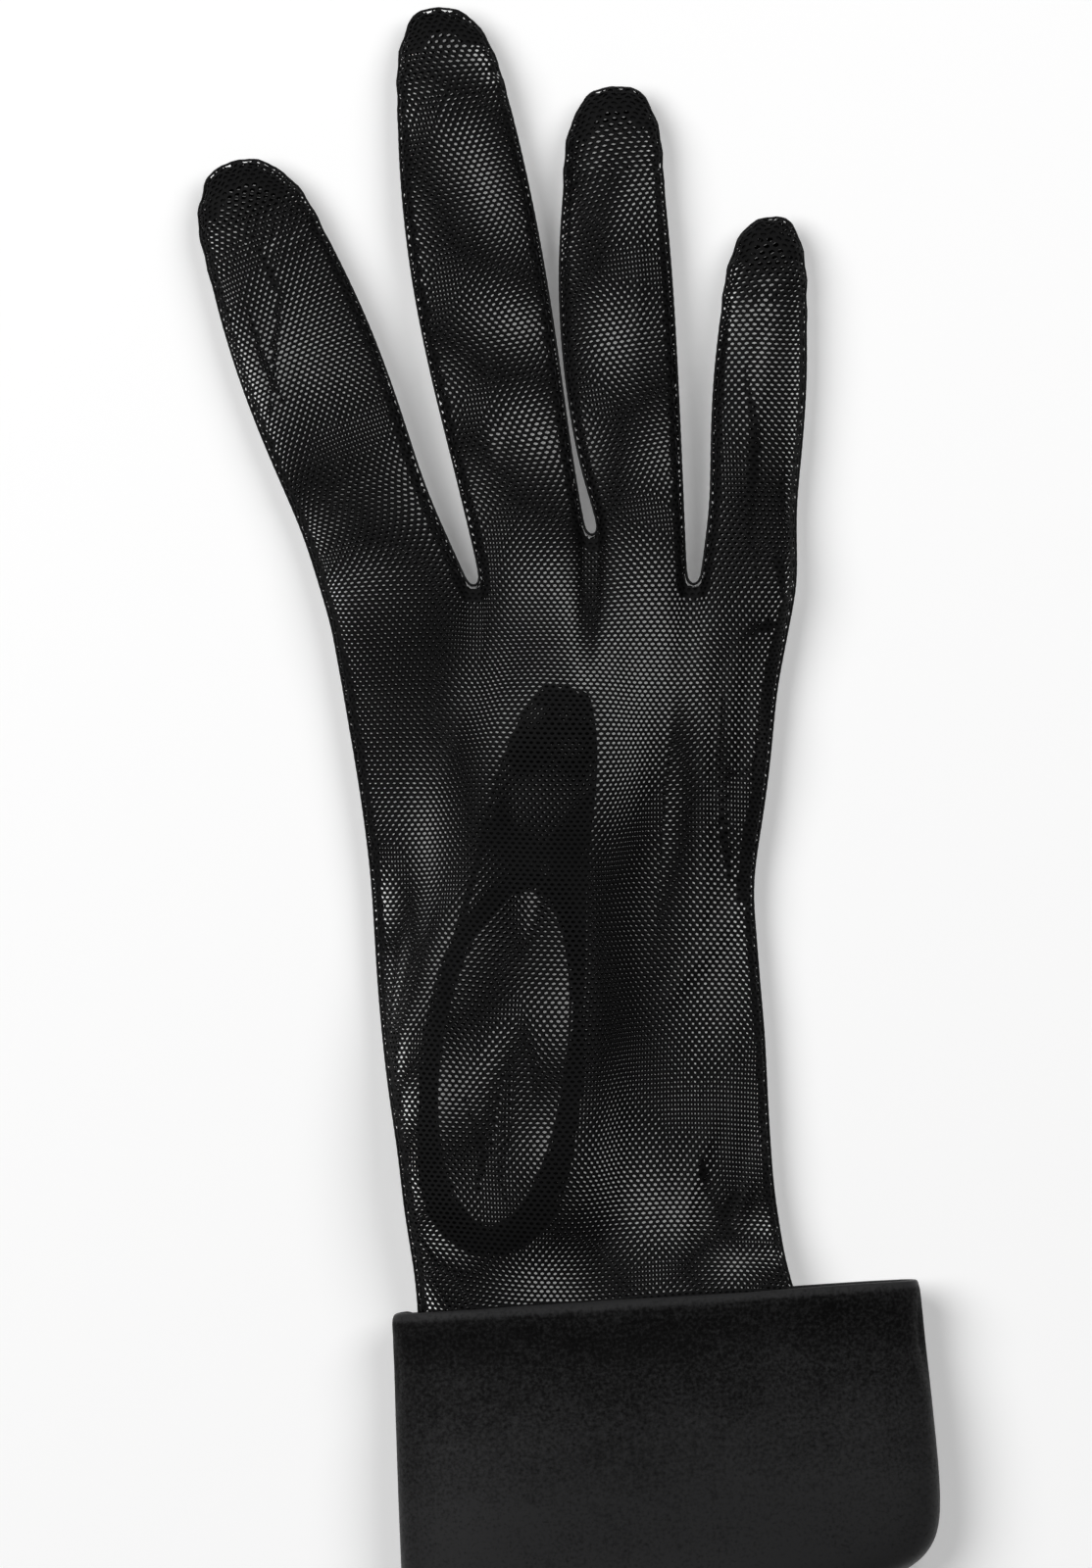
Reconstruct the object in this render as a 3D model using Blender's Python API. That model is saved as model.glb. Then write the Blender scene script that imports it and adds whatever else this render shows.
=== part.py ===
"""A right-hand dress glove of stretch tulle with a turned-up satin cuff, lying palm down.

The hand is an upper panel for the back and a lower panel for the palm, which meet in side seams.
Forks, the narrow side strips, join them between the fingers. The thumb is a bag of its own, sewn to an
oval hole in the palm panel and folded flat under the hand. The satin cuff goes round the flared hem.

Units are metres. +X is the little finger's side, +Y points to the fingertips and +Z is up. Everything
is built from the middle of the cuff's upper edge, and then moved until the origin lies under the
middle of the glove.
"""

import math

import bmesh
import bpy
from mathutils import Vector

# Walls and clearances
NET_WALL = 0.0010
SATIN_WALL = 0.0018
SEAM_GAP = 0.0003
HEM_GAP = 0.0008

# Hand
HAND_LENGTH = 0.1235  # from the cuff's upper edge to the highest crotch
MIDDLE_LENGTH = 0.0893  # of the middle finger, from its base to its tip
MIDDLE_WIDTH = 0.0216  # of the middle finger where it is widest
PALM_LOFT = 0.0105  # height of the hand as it lies
FINGER_LOFT = 0.0088
CROTCH_RADIUS = 0.0013
FORK_HEIGHT = 0.0044
FOLD_DEPTH = 0.0016

# Thumb
THUMB_LENGTH = 0.0930  # from the bag's lower end to its tip
THUMB_WIDTH = 0.0190
THUMB_LOFT = 0.0072
THUMB_LEAN = 8.0  # degrees, towards the little finger
THUMB_START = 0.0070  # from the cuff's upper edge to the bag
OVAL_START = 0.0040  # from the bag's lower end to the oval hole
OVAL_LENGTH = 0.0560
OVAL_WIDTH = 0.0210
OVAL_ALLOWANCE = 0.0025  # from the oval hole to the bag's outer side
OVAL_INSET = 0.0040  # from the hand's edge to the thumb's bag
LIFT_REACH = 0.0018  # how far past the thumb the hand is held at full height
LIFT_FALL = 0.0075  # how far the hand then takes to sink to the ground

# Cuff
CUFF_HEIGHT = 0.0477
CUFF_LOFT = 0.0190
CUFF_FLARE = 0.0015  # how much each side widens from the upper edge to the lower one
CUFF_OVERHANG_THUMB = 0.0048
CUFF_OVERHANG_LITTLE = 0.0221
CUFF_LEAN = 3.9  # degrees that the cuff's upper edge rises to the little finger's side
CUFF_CORNER = 0.0105  # radius of the lower corner on the little finger's side
HEM_INSET = 0.0040  # from the cuff's lower edge up to the net's hem

# One row a finger. length and width are shares of the middle finger's, base and bow are shares of the
# finger's own width, lean is in degrees to the thumb's side, and crotch is the height of the crotch on the
# little finger's side as a share of HAND_LENGTH.
FINGER_COLUMNS = ("name", "length", "width", "base", "lean", "bow", "crotch")
FINGER_ROWS = (
    ("index", 0.845, 1.065, 0.95, 20.7, 0.00, 0.933),
    ("middle", 1.000, 1.000, 0.77, 9.7, -0.05, 1.000),
    ("ring", 0.841, 0.861, 0.75, 3.5, -0.10, 0.935),
    ("little", 0.652, 0.694, 1.03, -3.2, 0.00, 0.939),
)
FINGERS = [dict(zip(FINGER_COLUMNS, row)) for row in FINGER_ROWS]
INDEX_OUTER_BASE = 0.887  # height of the index's outer base as a share of HAND_LENGTH

# Width of a finger and of the thumb, as shares of the full width, at shares of the length
FINGER_TAPER = (
    (0.0, 0.86), (0.22, 0.90), (0.45, 1.0), (0.62, 1.0),
    (0.80, 0.86), (0.90, 0.73), (0.96, 0.58), (1.0, 0.40),
)
FINGER_STEPS = (0.10, 0.22, 0.38, 0.55, 0.70, 0.82, 0.91, 0.97, 1.0)
FINGER_SETTLED = 0.25  # share of the length over which a finger turns to its own lean
TIP_START = 0.80  # share of the length where the rounding of a tip starts
FORK_END = 0.91  # share of the finger's length that a fork reaches
FORK_POINT = 0.95  # where its two edges would meet
FORK_CURVE = 3  # how late a fork starts to narrow
THUMB_TAPER = (
    (0.0, 0.32), (0.02, 0.55), (0.06, 0.83), (0.14, 1.0),
    (0.40, 1.0), (0.80, 0.90), (0.92, 0.74), (1.0, 0.40),
)
THUMB_STEPS = (0.0, 0.02, 0.06, 0.14, 0.26, 0.38, 0.50, 0.62, 0.74, 0.84, 0.92, 0.97, 1.0)
THUMB_LOFT_SHARES = ((0.0, 0.36), (0.26, 1.0), (0.90, 1.0), (1.0, 0.36))
THUMB_NARROWS = (0.55, 1.15)  # where the bag narrows to the thumb's width, as shares of the oval's length
THUMB_LEAN_START = 0.35  # share of its lean that the thumb has at its lower end
CUFF_LOFT_SHARES = ((0.0, 0.94), (0.45, 1.0), (1.0, 0.90))
CUFF_STEPS = (0.25, 0.50, 0.75, 0.88, 0.95)  # rows down the cuff, as shares of its height

# Rows across the hand. along is the share of HAND_LENGTH above the cuff's upper edge, thumb and little are
# the two edges as shares of the hand's width from its middle, tilt is in degrees and loft a share of
# PALM_LOFT.
PALM_ROWS = (
    {"along": 0.016, "thumb": -0.311, "little": 0.477, "tilt": 3.6, "loft": 1.10},
    {"along": 0.075, "thumb": -0.328, "little": 0.464, "tilt": 2.4, "loft": 1.06},
    {"along": 0.162, "thumb": -0.350, "little": 0.443, "tilt": 1.6, "loft": 1.00},
    {"along": 0.343, "thumb": -0.389, "little": 0.431, "tilt": 0.0, "loft": 0.95},
    {"along": 0.450, "thumb": -0.404, "little": 0.415, "tilt": 0.0, "loft": 0.92},
    {"along": 0.544, "thumb": -0.412, "little": 0.402, "tilt": 0.0, "loft": 0.92},
    {"along": 0.615, "thumb": -0.425, "little": 0.422, "tilt": 0.0, "loft": 0.96},
    {"along": 0.693, "thumb": -0.444, "little": 0.440, "tilt": 0.0, "loft": 1.00},
    {"along": 0.800, "thumb": -0.474, "little": 0.456, "tilt": 0.0, "loft": 1.00},
)
ROW_STEPS = (0.016, 0.075, 0.130, 0.200, 0.270, 0.343, 0.410, 0.480, 0.544, 0.615, 0.693, 0.750, 0.800)
CUFFED_STEPS = (1 - HEM_INSET / CUFF_HEIGHT, 0.62, 0.30)  # rows inside the cuff, as shares of its height
KNUCKLE_STEPS = (0.35, 0.70)  # rows between the last one above and the finger bases
VALLEY_WEIGHTS = (0.25, 0.65)  # how deep the valleys between the fingers run at those rows

# Soft folds in the back of the hand, in shares of the hand's width, of HAND_LENGTH and of FOLD_DEPTH
FOLDS = (
    {"start": (0.40, 0.54), "end": (0.29, 0.28), "width": 0.045, "depth": 1.00},
    {"start": (0.34, 0.76), "end": (0.31, 0.50), "width": 0.040, "depth": 0.75},
    {"start": (0.43, 0.20), "end": (0.33, 0.06), "width": 0.045, "depth": 0.88},
    {"start": (-0.20, 0.86), "end": (-0.06, 0.50), "width": 0.050, "depth": 0.62},
)
FOLD_END = 0.05  # share of a fold's run over which each end fades out

COLUMNS = 6  # faces across a finger
CUFF_SIDES = 36
THUMB_SIDES = 16
OVAL_SIDES = 24
THUMB_SAMPLES = 32  # places along the thumb where its reach under the hand is measured
SEAM_SHARE = 0.45  # height of the side seams as a share of the loft
CROWN = 2.4  # exponent of the rounded upper sides
THUMB_CROWN = 3.6
FLATTENED = 1.35  # how far a lower side would reach into the ground, had it not flattened there
ARC_ANGLES = (225.0, 270.0, 315.0)  # degrees round each crotch
EDGE_ROUNDING = 0.35  # share of the satin's wall that each rounded edge takes
CORNER_SHARE = 0.97  # share of the cuff's corner radius that the rows follow
HOLE_FOOT = 1.4  # height of the oval hole's lower end above the ground, in walls of net
HOLE_HEAD = 0.8  # how far the hole reaches into the palm, as a share of the side seam's height
TIP_INSET = 0.6  # how far a fingertip's wall leans inwards, as a share of a finger's side
FINGER_WALL_TURN = 2  # how suddenly the wall turns from standing at the edge to lying on top
HAND_WALL_TURN = 7
VALLEY_WALL_TURN = 4
SHARP_ANGLE = 50.0  # degrees


def smooth(t):
    """0 below 0, 1 above 1, and a soft step between."""
    t = min(1.0, max(0.0, t))
    return t * t * (3 - 2 * t)


def mix(a, b, t):
    return a * (1 - t) + b * t


def crown(u, power=CROWN):
    """Height of a rounded arch at u, which is 0 at -1 and at 1, and 1 in the middle."""
    return (1 - min(1.0, abs(u)) ** power) ** (1 / power)


def read_table(table, t):
    """The value at t in a table of (place, value) rows."""
    for (t0, a), (t1, b) in zip(table, table[1:]):
        if t <= t1:
            return mix(a, b, smooth((t - t0) / (t1 - t0)))
    return table[-1][1]


def turned(degrees):
    """The unit vector across a row that rises by this angle."""
    return Vector((math.cos(math.radians(degrees)), math.sin(math.radians(degrees))))


def finger_width(number):
    return FINGERS[number]["width"] * MIDDLE_WIDTH


def base_width(number):
    return finger_width(number) * FINGERS[number]["base"]


HAND_WIDTH = sum(base_width(n) for n in range(len(FINGERS))) + 2 * CROTCH_RADIUS * (len(FINGERS) - 1)


def base_corners():
    """The two lower corners of each finger, with room for a round crotch between neighbours."""
    corners = []
    x, y = -HAND_WIDTH / 2, INDEX_OUTER_BASE * HAND_LENGTH
    for number, finger in enumerate(FINGERS):
        thumb_side = Vector((x, y))
        x += base_width(number)
        last = number == len(FINGERS) - 1
        y = finger["crotch"] * HAND_LENGTH + (0 if last else CROTCH_RADIUS)
        corners.append((thumb_side, Vector((x, y))))
        x += 2 * CROTCH_RADIUS
    return corners


CORNERS = base_corners()


def fork_half(number, side, along):
    """Half the height of the fork at a finger's edge, which is 0 on the two outer sides of the hand."""
    outer = (number == 0 and side < 0) or (number == len(FINGERS) - 1 and side > 0)
    if outer:
        return 0.0
    return FORK_HEIGHT / 2 * max(0.0, 1 - (along / FORK_POINT) ** FORK_CURVE)


def rim_rise(number, side, along):
    """Distance from the seam's height to a panel's rim, with room for the fork where there is one."""
    half = fork_half(number, side, along)
    return SEAM_GAP + half if half > 0 else SEAM_GAP / 2


def finger_edges(number, along):
    """The two edge points of a finger at a share of its length, and the direction across it."""
    finger = FINGERS[number]
    left, right = CORNERS[number]
    across = turned(finger["lean"])
    up = Vector((-across.y, across.x))
    settled = smooth(along / FINGER_SETTLED)
    direction = mix((right - left).normalized(), across, settled).normalized()
    bow = finger["bow"] * finger_width(number) * math.sin(math.pi * along)
    middle = (left + right) / 2 + up * finger["length"] * MIDDLE_LENGTH * along + across * bow
    own_width = finger_width(number) * read_table(FINGER_TAPER, along)
    half = mix((right - left).length, own_width, settled) / 2
    return middle - direction * half, middle + direction * half, direction


def thumb_centre(along):
    """The point on the thumb's centre line at a share of its length."""
    start_x = PALM_ROWS[3]["thumb"] * HAND_WIDTH + OVAL_INSET + oval_bag_width() / 2
    lean = math.radians(THUMB_LEAN) * mix(THUMB_LEAN_START, 1.0, along)
    return Vector((start_x, THUMB_START)) + Vector((math.sin(lean), math.cos(lean))) * THUMB_LENGTH * along


def oval_bag_width():
    return OVAL_WIDTH + 2 * OVAL_ALLOWANCE


def thumb_width(along):
    """Width of the thumb's bag, which is widest where the oval hole lies."""
    first, last = THUMB_NARROWS
    narrowed = smooth((along * THUMB_LENGTH / OVAL_LENGTH - first) / (last - first))
    return mix(oval_bag_width(), THUMB_WIDTH, narrowed) * read_table(THUMB_TAPER, along)


def thumb_height(along):
    return THUMB_LOFT * read_table(THUMB_LOFT_SHARES, along)


def cuff_place(along):
    """Middle of the cuff at a share of its height below the upper edge, and its two half widths."""
    left = PALM_ROWS[0]["thumb"] * HAND_WIDTH - CUFF_OVERHANG_THUMB
    right = PALM_ROWS[0]["little"] * HAND_WIDTH + CUFF_OVERHANG_LITTLE
    across = turned(CUFF_LEAN)
    half = (right - left) / 2 + CUFF_FLARE * along
    into_corner = max(0.0, CUFF_CORNER - CUFF_HEIGHT * (1 - along))
    into_corner = min(into_corner, CUFF_CORNER * CORNER_SHARE)
    drawn_in = CUFF_CORNER - math.sqrt(CUFF_CORNER ** 2 - into_corner ** 2)
    middle = Vector(((left + right) / 2, 0.0)) + Vector((across.y, -across.x)) * CUFF_HEIGHT * along
    return middle, half, half - drawn_in


def ground(point):
    """How high the cuff's wall and the folded thumb hold the hand above the ground at a point."""
    across = turned(CUFF_LEAN)
    above_cuff = (point - cuff_place(0.0)[0]).dot(Vector((-across.y, across.x)))
    over_cuff = (SATIN_WALL + HEM_GAP) * (1 - smooth((above_cuff - SATIN_WALL) / LIFT_FALL))
    over_thumb = 0.0
    for step in range(THUMB_SAMPLES + 1):
        along = step / THUMB_SAMPLES
        away = (thumb_centre(along) - point).length - thumb_width(along) / 2
        held = (thumb_height(along) + SEAM_GAP) * (1 - smooth((away - LIFT_REACH) / LIFT_FALL))
        over_thumb = max(over_thumb, held)
    return max(over_cuff, over_thumb)


def fold_depth(point):
    """How far the soft folds sink the back of the hand at a point."""
    depth = 0.0
    for fold in FOLDS:
        start = Vector((fold["start"][0] * HAND_WIDTH, fold["start"][1] * HAND_LENGTH))
        run = Vector((fold["end"][0] * HAND_WIDTH, fold["end"][1] * HAND_LENGTH)) - start
        t = min(1 - FOLD_END, max(FOLD_END, (point - start).dot(run) / run.length_squared))
        away = (point - start - run * t).length / (fold["width"] * HAND_WIDTH)
        depth += fold["depth"] * FOLD_DEPTH * math.exp(-away * away) * math.sin(math.pi * t)
    return depth


def stitch_point(plan, inset, arch, rise, loft, seam):
    """One point of the hand: its place from above, how far the wall reaches inwards there, its share of
    the arch, the rise of the rims from the seam, and the heights of the top and of the seam."""
    return {"plan": plan, "inset": inset, "arch": arch, "rise": rise, "loft": loft, "seam": seam}


def finger_row(number, along):
    """The points across a finger at a share of its length."""
    left, right, direction = finger_edges(number, along)
    tip = crown((along - TIP_START) / (1 - TIP_START)) if along > TIP_START else 1.0
    loft = mix(PALM_LOFT, FINGER_LOFT, smooth(along / FINGER_SETTLED))
    down = Vector((direction.y, -direction.x))
    row = []
    for column in range(COLUMNS + 1):
        u = -math.cos(math.pi * column / COLUMNS)
        inset = -direction * NET_WALL * u * abs(u) ** FINGER_WALL_TURN
        if along == 1.0:
            inset = inset * TIP_INSET + down * NET_WALL
        rise = mix(rim_rise(number, -1, along), rim_rise(number, 1, along), (u + 1) / 2)
        plan = mix(left, right, (u + 1) / 2)
        row.append(stitch_point(plan, inset, crown(u) * tip, rise, loft, SEAM_SHARE * loft))
    return row


def crotch_row(number):
    """The points round the crotch after a finger, from corner to corner without the corners."""
    corner = CORNERS[number][1]
    centre = Vector((corner.x + CROTCH_RADIUS, corner.y))
    rise = rim_rise(number, 1, 0.0)
    row = []
    for angle in ARC_ANGLES:
        out = turned(angle)
        plan = centre + out * CROTCH_RADIUS
        row.append(stitch_point(plan, out * NET_WALL, 0.0, rise, PALM_LOFT, SEAM_SHARE * PALM_LOFT))
    return row


def base_row():
    """The points across all four finger bases."""
    row = []
    for number in range(len(FINGERS)):
        row += finger_row(number, 0.0)
        if number < len(FINGERS) - 1:
            row += crotch_row(number)
    return row


def row_values(along):
    """A row of PALM_ROWS at any share of the hand's length between the first and the last."""
    return {key: read_table([(r["along"], r[key]) for r in PALM_ROWS], along) for key in PALM_ROWS[0]}


def hand_rows():
    """All rows from the net's hem to the finger bases, each a list of points."""
    base = base_row()
    width = base[-1]["plan"].x - base[0]["plan"].x
    shares = [(point["plan"].x - base[0]["plan"].x) / width for point in base]
    rows = []
    for share in CUFFED_STEPS:
        rows.append(cuffed_row(share, shares))
    for along in ROW_STEPS:
        values = row_values(along)
        left, right = values["thumb"] * HAND_WIDTH, values["little"] * HAND_WIDTH
        slope = math.tan(math.radians(values["tilt"]))
        loft = values["loft"] * PALM_LOFT
        ends = [Vector((x, along * HAND_LENGTH + slope * (x - (left + right) / 2))) for x in (left, right)]
        rows.append(straight_row(ends, shares, loft, SEAM_SHARE * loft))
    last = rows[-1]
    for step, valley in zip(KNUCKLE_STEPS, VALLEY_WEIGHTS):
        row = []
        for low, high in zip(last, base):
            arch = mix(low["arch"], high["arch"], valley)
            inset = mix(low["inset"], high["inset"], valley ** VALLEY_WALL_TURN)
            rise = mix(low["rise"], high["rise"], valley)
            loft = mix(low["loft"], high["loft"], step)
            plan = mix(low["plan"], high["plan"], step)
            row.append(stitch_point(plan, inset, arch, rise, loft, SEAM_SHARE * loft))
        rows.append(row)
    rows.append(base)
    return rows


def straight_row(ends, shares, loft, seam):
    """The points of a row between its two ends, at the given shares of its width."""
    across = (ends[1] - ends[0]).normalized()
    row = []
    for share in shares:
        u = 2 * share - 1
        inset = -across * NET_WALL * u * abs(u) ** HAND_WALL_TURN
        row.append(stitch_point(mix(ends[0], ends[1], share), inset, crown(u), SEAM_GAP / 2, loft, seam))
    return row


def cuffed_row(share, shares):
    """A row inside the cuff, which flares from the wrist until it meets the cuff's wall at the hem."""
    middle, left_half, right_half = cuff_place(share)
    across = turned(CUFF_LEAN)
    wall = SATIN_WALL + HEM_GAP
    flare = smooth(share / CUFFED_STEPS[0])
    first = row_values(ROW_STEPS[0])
    down = middle - cuff_place(0.0)[0]
    ends = []
    for side, half in (("thumb", -left_half + wall), ("little", right_half - wall)):
        at_wrist = Vector((first[side] * HAND_WIDTH, 0.0)) + down
        ends.append(mix(at_wrist, middle + across * half, flare))
    cuff_loft = CUFF_LOFT * read_table(CUFF_LOFT_SHARES, share)
    loft = mix(first["loft"] * PALM_LOFT, cuff_loft - 2 * wall, flare)
    seam = mix(SEAM_SHARE * first["loft"] * PALM_LOFT, SEAM_SHARE * cuff_loft - wall, flare)
    return straight_row(ends, shares, loft, seam)


def place(point, upper, inner):
    """A point of the upper or lower panel's outer or inner side in space."""
    plan = point["plan"] + (point["inset"] if inner else Vector((0, 0)))
    wall = NET_WALL if inner else 0.0
    base = ground(point["plan"]) + point["seam"]
    if upper:
        full = point["loft"] - point["seam"] - point["rise"] - wall - fold_depth(point["plan"])
        return Vector((plan.x, plan.y, base + point["rise"] + full * point["arch"]))
    full = point["seam"] - point["rise"] - wall
    return Vector((plan.x, plan.y, base - point["rise"] - full * min(1.0, FLATTENED * point["arch"])))


def material(name, color, roughness):
    made = bpy.data.materials.new(name)
    made.use_nodes = True
    shader = made.node_tree.nodes["Principled BSDF"]
    shader.inputs["Base Color"].default_value = (*color, 1.0)
    shader.inputs["Roughness"].default_value = roughness
    shader.inputs["Metallic"].default_value = 0.0
    return made


def face_out(builder):
    """Turns all faces of one closed wall the same way, and then outwards."""
    bmesh.ops.recalc_face_normals(builder, faces=builder.faces)
    if builder.calc_volume(signed=True) < 0:
        bmesh.ops.reverse_faces(builder, faces=builder.faces)


def as_object(name, builder, made_of):
    """Turns a bmesh into an object, with its faces as they are."""
    mesh = bpy.data.meshes.new(name)
    builder.to_mesh(mesh)
    builder.free()
    mesh.shade_smooth()
    mesh.set_sharp_from_angle(angle=math.radians(SHARP_ANGLE))
    made = bpy.data.objects.new(name, mesh)
    bpy.context.scene.collection.objects.link(made)
    if made_of:
        mesh.materials.append(made_of)
    return made


def new_object(name, builder, made_of):
    """Turns a bmesh of one closed wall into an object, with its faces pointing out."""
    face_out(builder)
    return as_object(name, builder, made_of)


def join_rows(builder, rows, closed=False):
    """Faces between neighbouring rows of vertices."""
    for low, high in zip(rows, rows[1:]):
        count = len(low) if closed else len(low) - 1
        for k in range(count):
            n = (k + 1) % len(low)
            builder.faces.new((low[k], low[n], high[n], high[k]))


def hand_panel(name, upper, made_of):
    """The back or the palm of the hand with its four finger sides, as a sheet that is given its wall."""
    builder = bmesh.new()
    inwards = builder.verts.layers.float_vector.new("inwards")

    def add_row(points):
        row = []
        for point in points:
            outside = place(point, upper, False)
            vertex = builder.verts.new(outside)
            vertex[inwards] = place(point, upper, True) - outside
            row.append(vertex)
        return row

    rows = [add_row(points) for points in hand_rows()]
    join_rows(builder, rows)
    stride = COLUMNS + 1 + len(ARC_ANGLES)
    for number in range(len(FINGERS)):
        first = rows[-1][number * stride:number * stride + COLUMNS + 1]
        join_rows(builder, [first] + [add_row(finger_row(number, along)) for along in FINGER_STEPS])
    grown = bmesh.ops.extrude_face_region(builder, geom=builder.faces[:])
    for part in grown["geom"]:
        if isinstance(part, bmesh.types.BMVert):
            part.co += part[inwards]
    return new_object(name, builder, made_of)


def fork(name, number, made_of):
    """The side strip that runs down a finger, round the crotch and up the next finger."""
    stations = []
    steps = [0.0] + [along for along in FINGER_STEPS if along <= FORK_END]
    for along in reversed(steps):
        stations.append((finger_row(number, along)[-1], fork_half(number, 1, along)))
    for point in crotch_row(number):
        stations.append((point, fork_half(number, 1, 0.0)))
    for along in steps:
        stations.append((finger_row(number + 1, along)[0], fork_half(number + 1, -1, along)))
    builder = bmesh.new()
    rows = []
    for point, half in stations:
        height = ground(point["plan"]) + point["seam"]
        outer, inner = point["plan"], point["plan"] + point["inset"]
        corners = ((outer, -half), (outer, half), (inner, half), (inner, -half))
        rows.append([builder.verts.new((plan.x, plan.y, height + z)) for plan, z in corners])
    join_rows(builder, rows, closed=True)
    for end in (rows[0], rows[-1]):
        builder.faces.new(end)
    return new_object(name, builder, made_of)


def flat_ring(middle, across, halves, height, seam, inset, sides, power):
    """Points round a flattened tube whose lower side lies on the ground."""
    points = []
    left, right = -halves[0] + inset, halves[1] - inset
    for side in range(sides):
        angle = 2 * math.pi * side / sides
        u = math.cos(angle)
        plan = middle + across * mix(left, right, (u + 1) / 2)
        if math.sin(angle) >= 0:
            z = seam + (height - inset - seam) * crown(u, power)
        else:
            z = seam - (seam - inset) * min(1.0, FLATTENED * crown(u))
        points.append(Vector((plan.x, plan.y, z)))
    return points


def thumb_shell(builder, wall):
    """One closed side of the thumb's bag, the outer one for a wall of 0."""
    rows = []
    near = THUMB_STEPS[1]
    for along in THUMB_STEPS:
        ahead = thumb_centre(min(1.0, along + near)) - thumb_centre(max(0.0, along - near))
        across = Vector((ahead.y, -ahead.x)).normalized()
        height = thumb_height(along)
        middle = thumb_centre(along)
        if along in (0.0, 1.0):
            middle = middle + ahead.normalized() * wall * (1 if along == 0.0 else -1)
        halves = (thumb_width(along) / 2, thumb_width(along) / 2)
        seam = SEAM_SHARE * height
        ring = flat_ring(middle, across, halves, height, seam, wall, THUMB_SIDES, THUMB_CROWN)
        rows.append([builder.verts.new(point) for point in ring])
    join_rows(builder, rows, closed=True)
    caps = [builder.faces.new(rows[0]), builder.faces.new(rows[-1])]
    bmesh.ops.triangulate(builder, faces=caps)
    return rows


def thumb(name, made_of):
    """The thumb as a hollow bag, lying flat under the palm."""
    outer, inner = bmesh.new(), bmesh.new()
    thumb_shell(outer, 0.0)
    face_out(outer)
    thumb_shell(inner, NET_WALL)
    face_out(inner)
    bmesh.ops.reverse_faces(inner, faces=inner.faces)
    hollow = bpy.data.meshes.new("thumb_hollow")
    inner.to_mesh(hollow)
    inner.free()
    outer.from_mesh(hollow)
    bpy.data.meshes.remove(hollow)
    return as_object(name, outer, made_of)


def oval_cutter():
    """An upright oval that cuts the hole where the thumb opens into the palm."""
    builder = bmesh.new()
    rim = []
    for side in range(OVAL_SIDES):
        angle = 2 * math.pi * side / OVAL_SIDES
        along = (OVAL_START + OVAL_LENGTH / 2 * (1 + math.sin(angle))) / THUMB_LENGTH
        plan = thumb_centre(along) + Vector((OVAL_WIDTH / 2 * math.cos(angle), 0))
        rim.append(builder.verts.new((plan.x, plan.y, NET_WALL * HOLE_FOOT)))
    top = bmesh.ops.extrude_face_region(builder, geom=[builder.faces.new(rim)])
    lifted = [part for part in top["geom"] if isinstance(part, bmesh.types.BMVert)]
    height = THUMB_LOFT + SEAM_GAP + SEAM_SHARE * PALM_LOFT * HOLE_HEAD - NET_WALL
    bmesh.ops.translate(builder, verts=lifted, vec=(0, 0, height))
    made = new_object("thumb_hole", builder, None)
    made.hide_render = True
    made.display_type = "WIRE"
    return made


def cut_hole(piece, cutter):
    hole = piece.modifiers.new("thumb_hole", "BOOLEAN")
    hole.operation = "DIFFERENCE"
    hole.object = cutter


def cuff(name, made_of):
    """The turned-up cuff: one closed wall with a rounded fold above and a rounded edge below."""
    rounding = EDGE_ROUNDING * SATIN_WALL
    end = rounding / CUFF_HEIGHT
    steps = (end, *CUFF_STEPS, 1 - end)
    outside = [(along, 0.0) for along in steps]
    lower_edge = [(1.0, rounding), (1.0, SATIN_WALL - rounding)]
    inside = [(along, SATIN_WALL) for along in reversed(steps)]
    upper_edge = [(0.0, SATIN_WALL - rounding), (0.0, rounding)]
    across = turned(CUFF_LEAN)
    builder = bmesh.new()
    rows = []
    for along, inset in outside + lower_edge + inside + upper_edge:
        middle, left_half, right_half = cuff_place(along)
        height = CUFF_LOFT * read_table(CUFF_LOFT_SHARES, along)
        seam = SEAM_SHARE * height
        ring = flat_ring(middle, across, (left_half, right_half), height, seam, inset, CUFF_SIDES, CROWN)
        rows.append([builder.verts.new(point) for point in ring])
    join_rows(builder, rows + [rows[0]], closed=True)
    return new_object(name, builder, made_of)


def main():
    for old in list(bpy.data.objects):
        bpy.data.objects.remove(old)
    net = material("net", (0.012, 0.012, 0.013), 0.75)
    satin = material("satin", (0.016, 0.016, 0.017), 0.42)
    hole = oval_cutter()
    palm = hand_panel("palm_panel", False, net)
    bag = thumb("thumb", net)
    cut_hole(palm, hole)
    cut_hole(bag, hole)
    pieces = [hand_panel("back_panel", True, net), palm, bag, hole]
    for number, (first, second) in enumerate(zip(FINGERS, FINGERS[1:])):
        pieces.append(fork("fork_%s_%s" % (first["name"], second["name"]), number, net))
    pieces.append(cuff("cuff", satin))

    corners = [vertex.co for piece in pieces for vertex in piece.data.vertices]
    low = Vector([min(c[axis] for c in corners) for axis in range(3)])
    high = Vector([max(c[axis] for c in corners) for axis in range(3)])
    glove = bpy.data.objects.new("glove", None)
    bpy.context.scene.collection.objects.link(glove)
    glove.location = (-(low.x + high.x) / 2, -(low.y + high.y) / 2, -low.z)
    for piece in pieces:
        piece.parent = glove


main()
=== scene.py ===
# %% [markdown]
# A sheer dress glove. This lesson dresses the plain solids of a tulle glove with what a glover works
# in: openwork net cut from a flat pattern, seam allowances, stitches, and a cuff of turned-up satin.
# The solids are loaded first and never change. Every new piece is laid on them.

# %% Load the frame
import math

import bmesh
import bpy
import numpy as np
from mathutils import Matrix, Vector, noise
from mathutils.bvhtree import BVHTree
from mathutils.kdtree import KDTree


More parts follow.
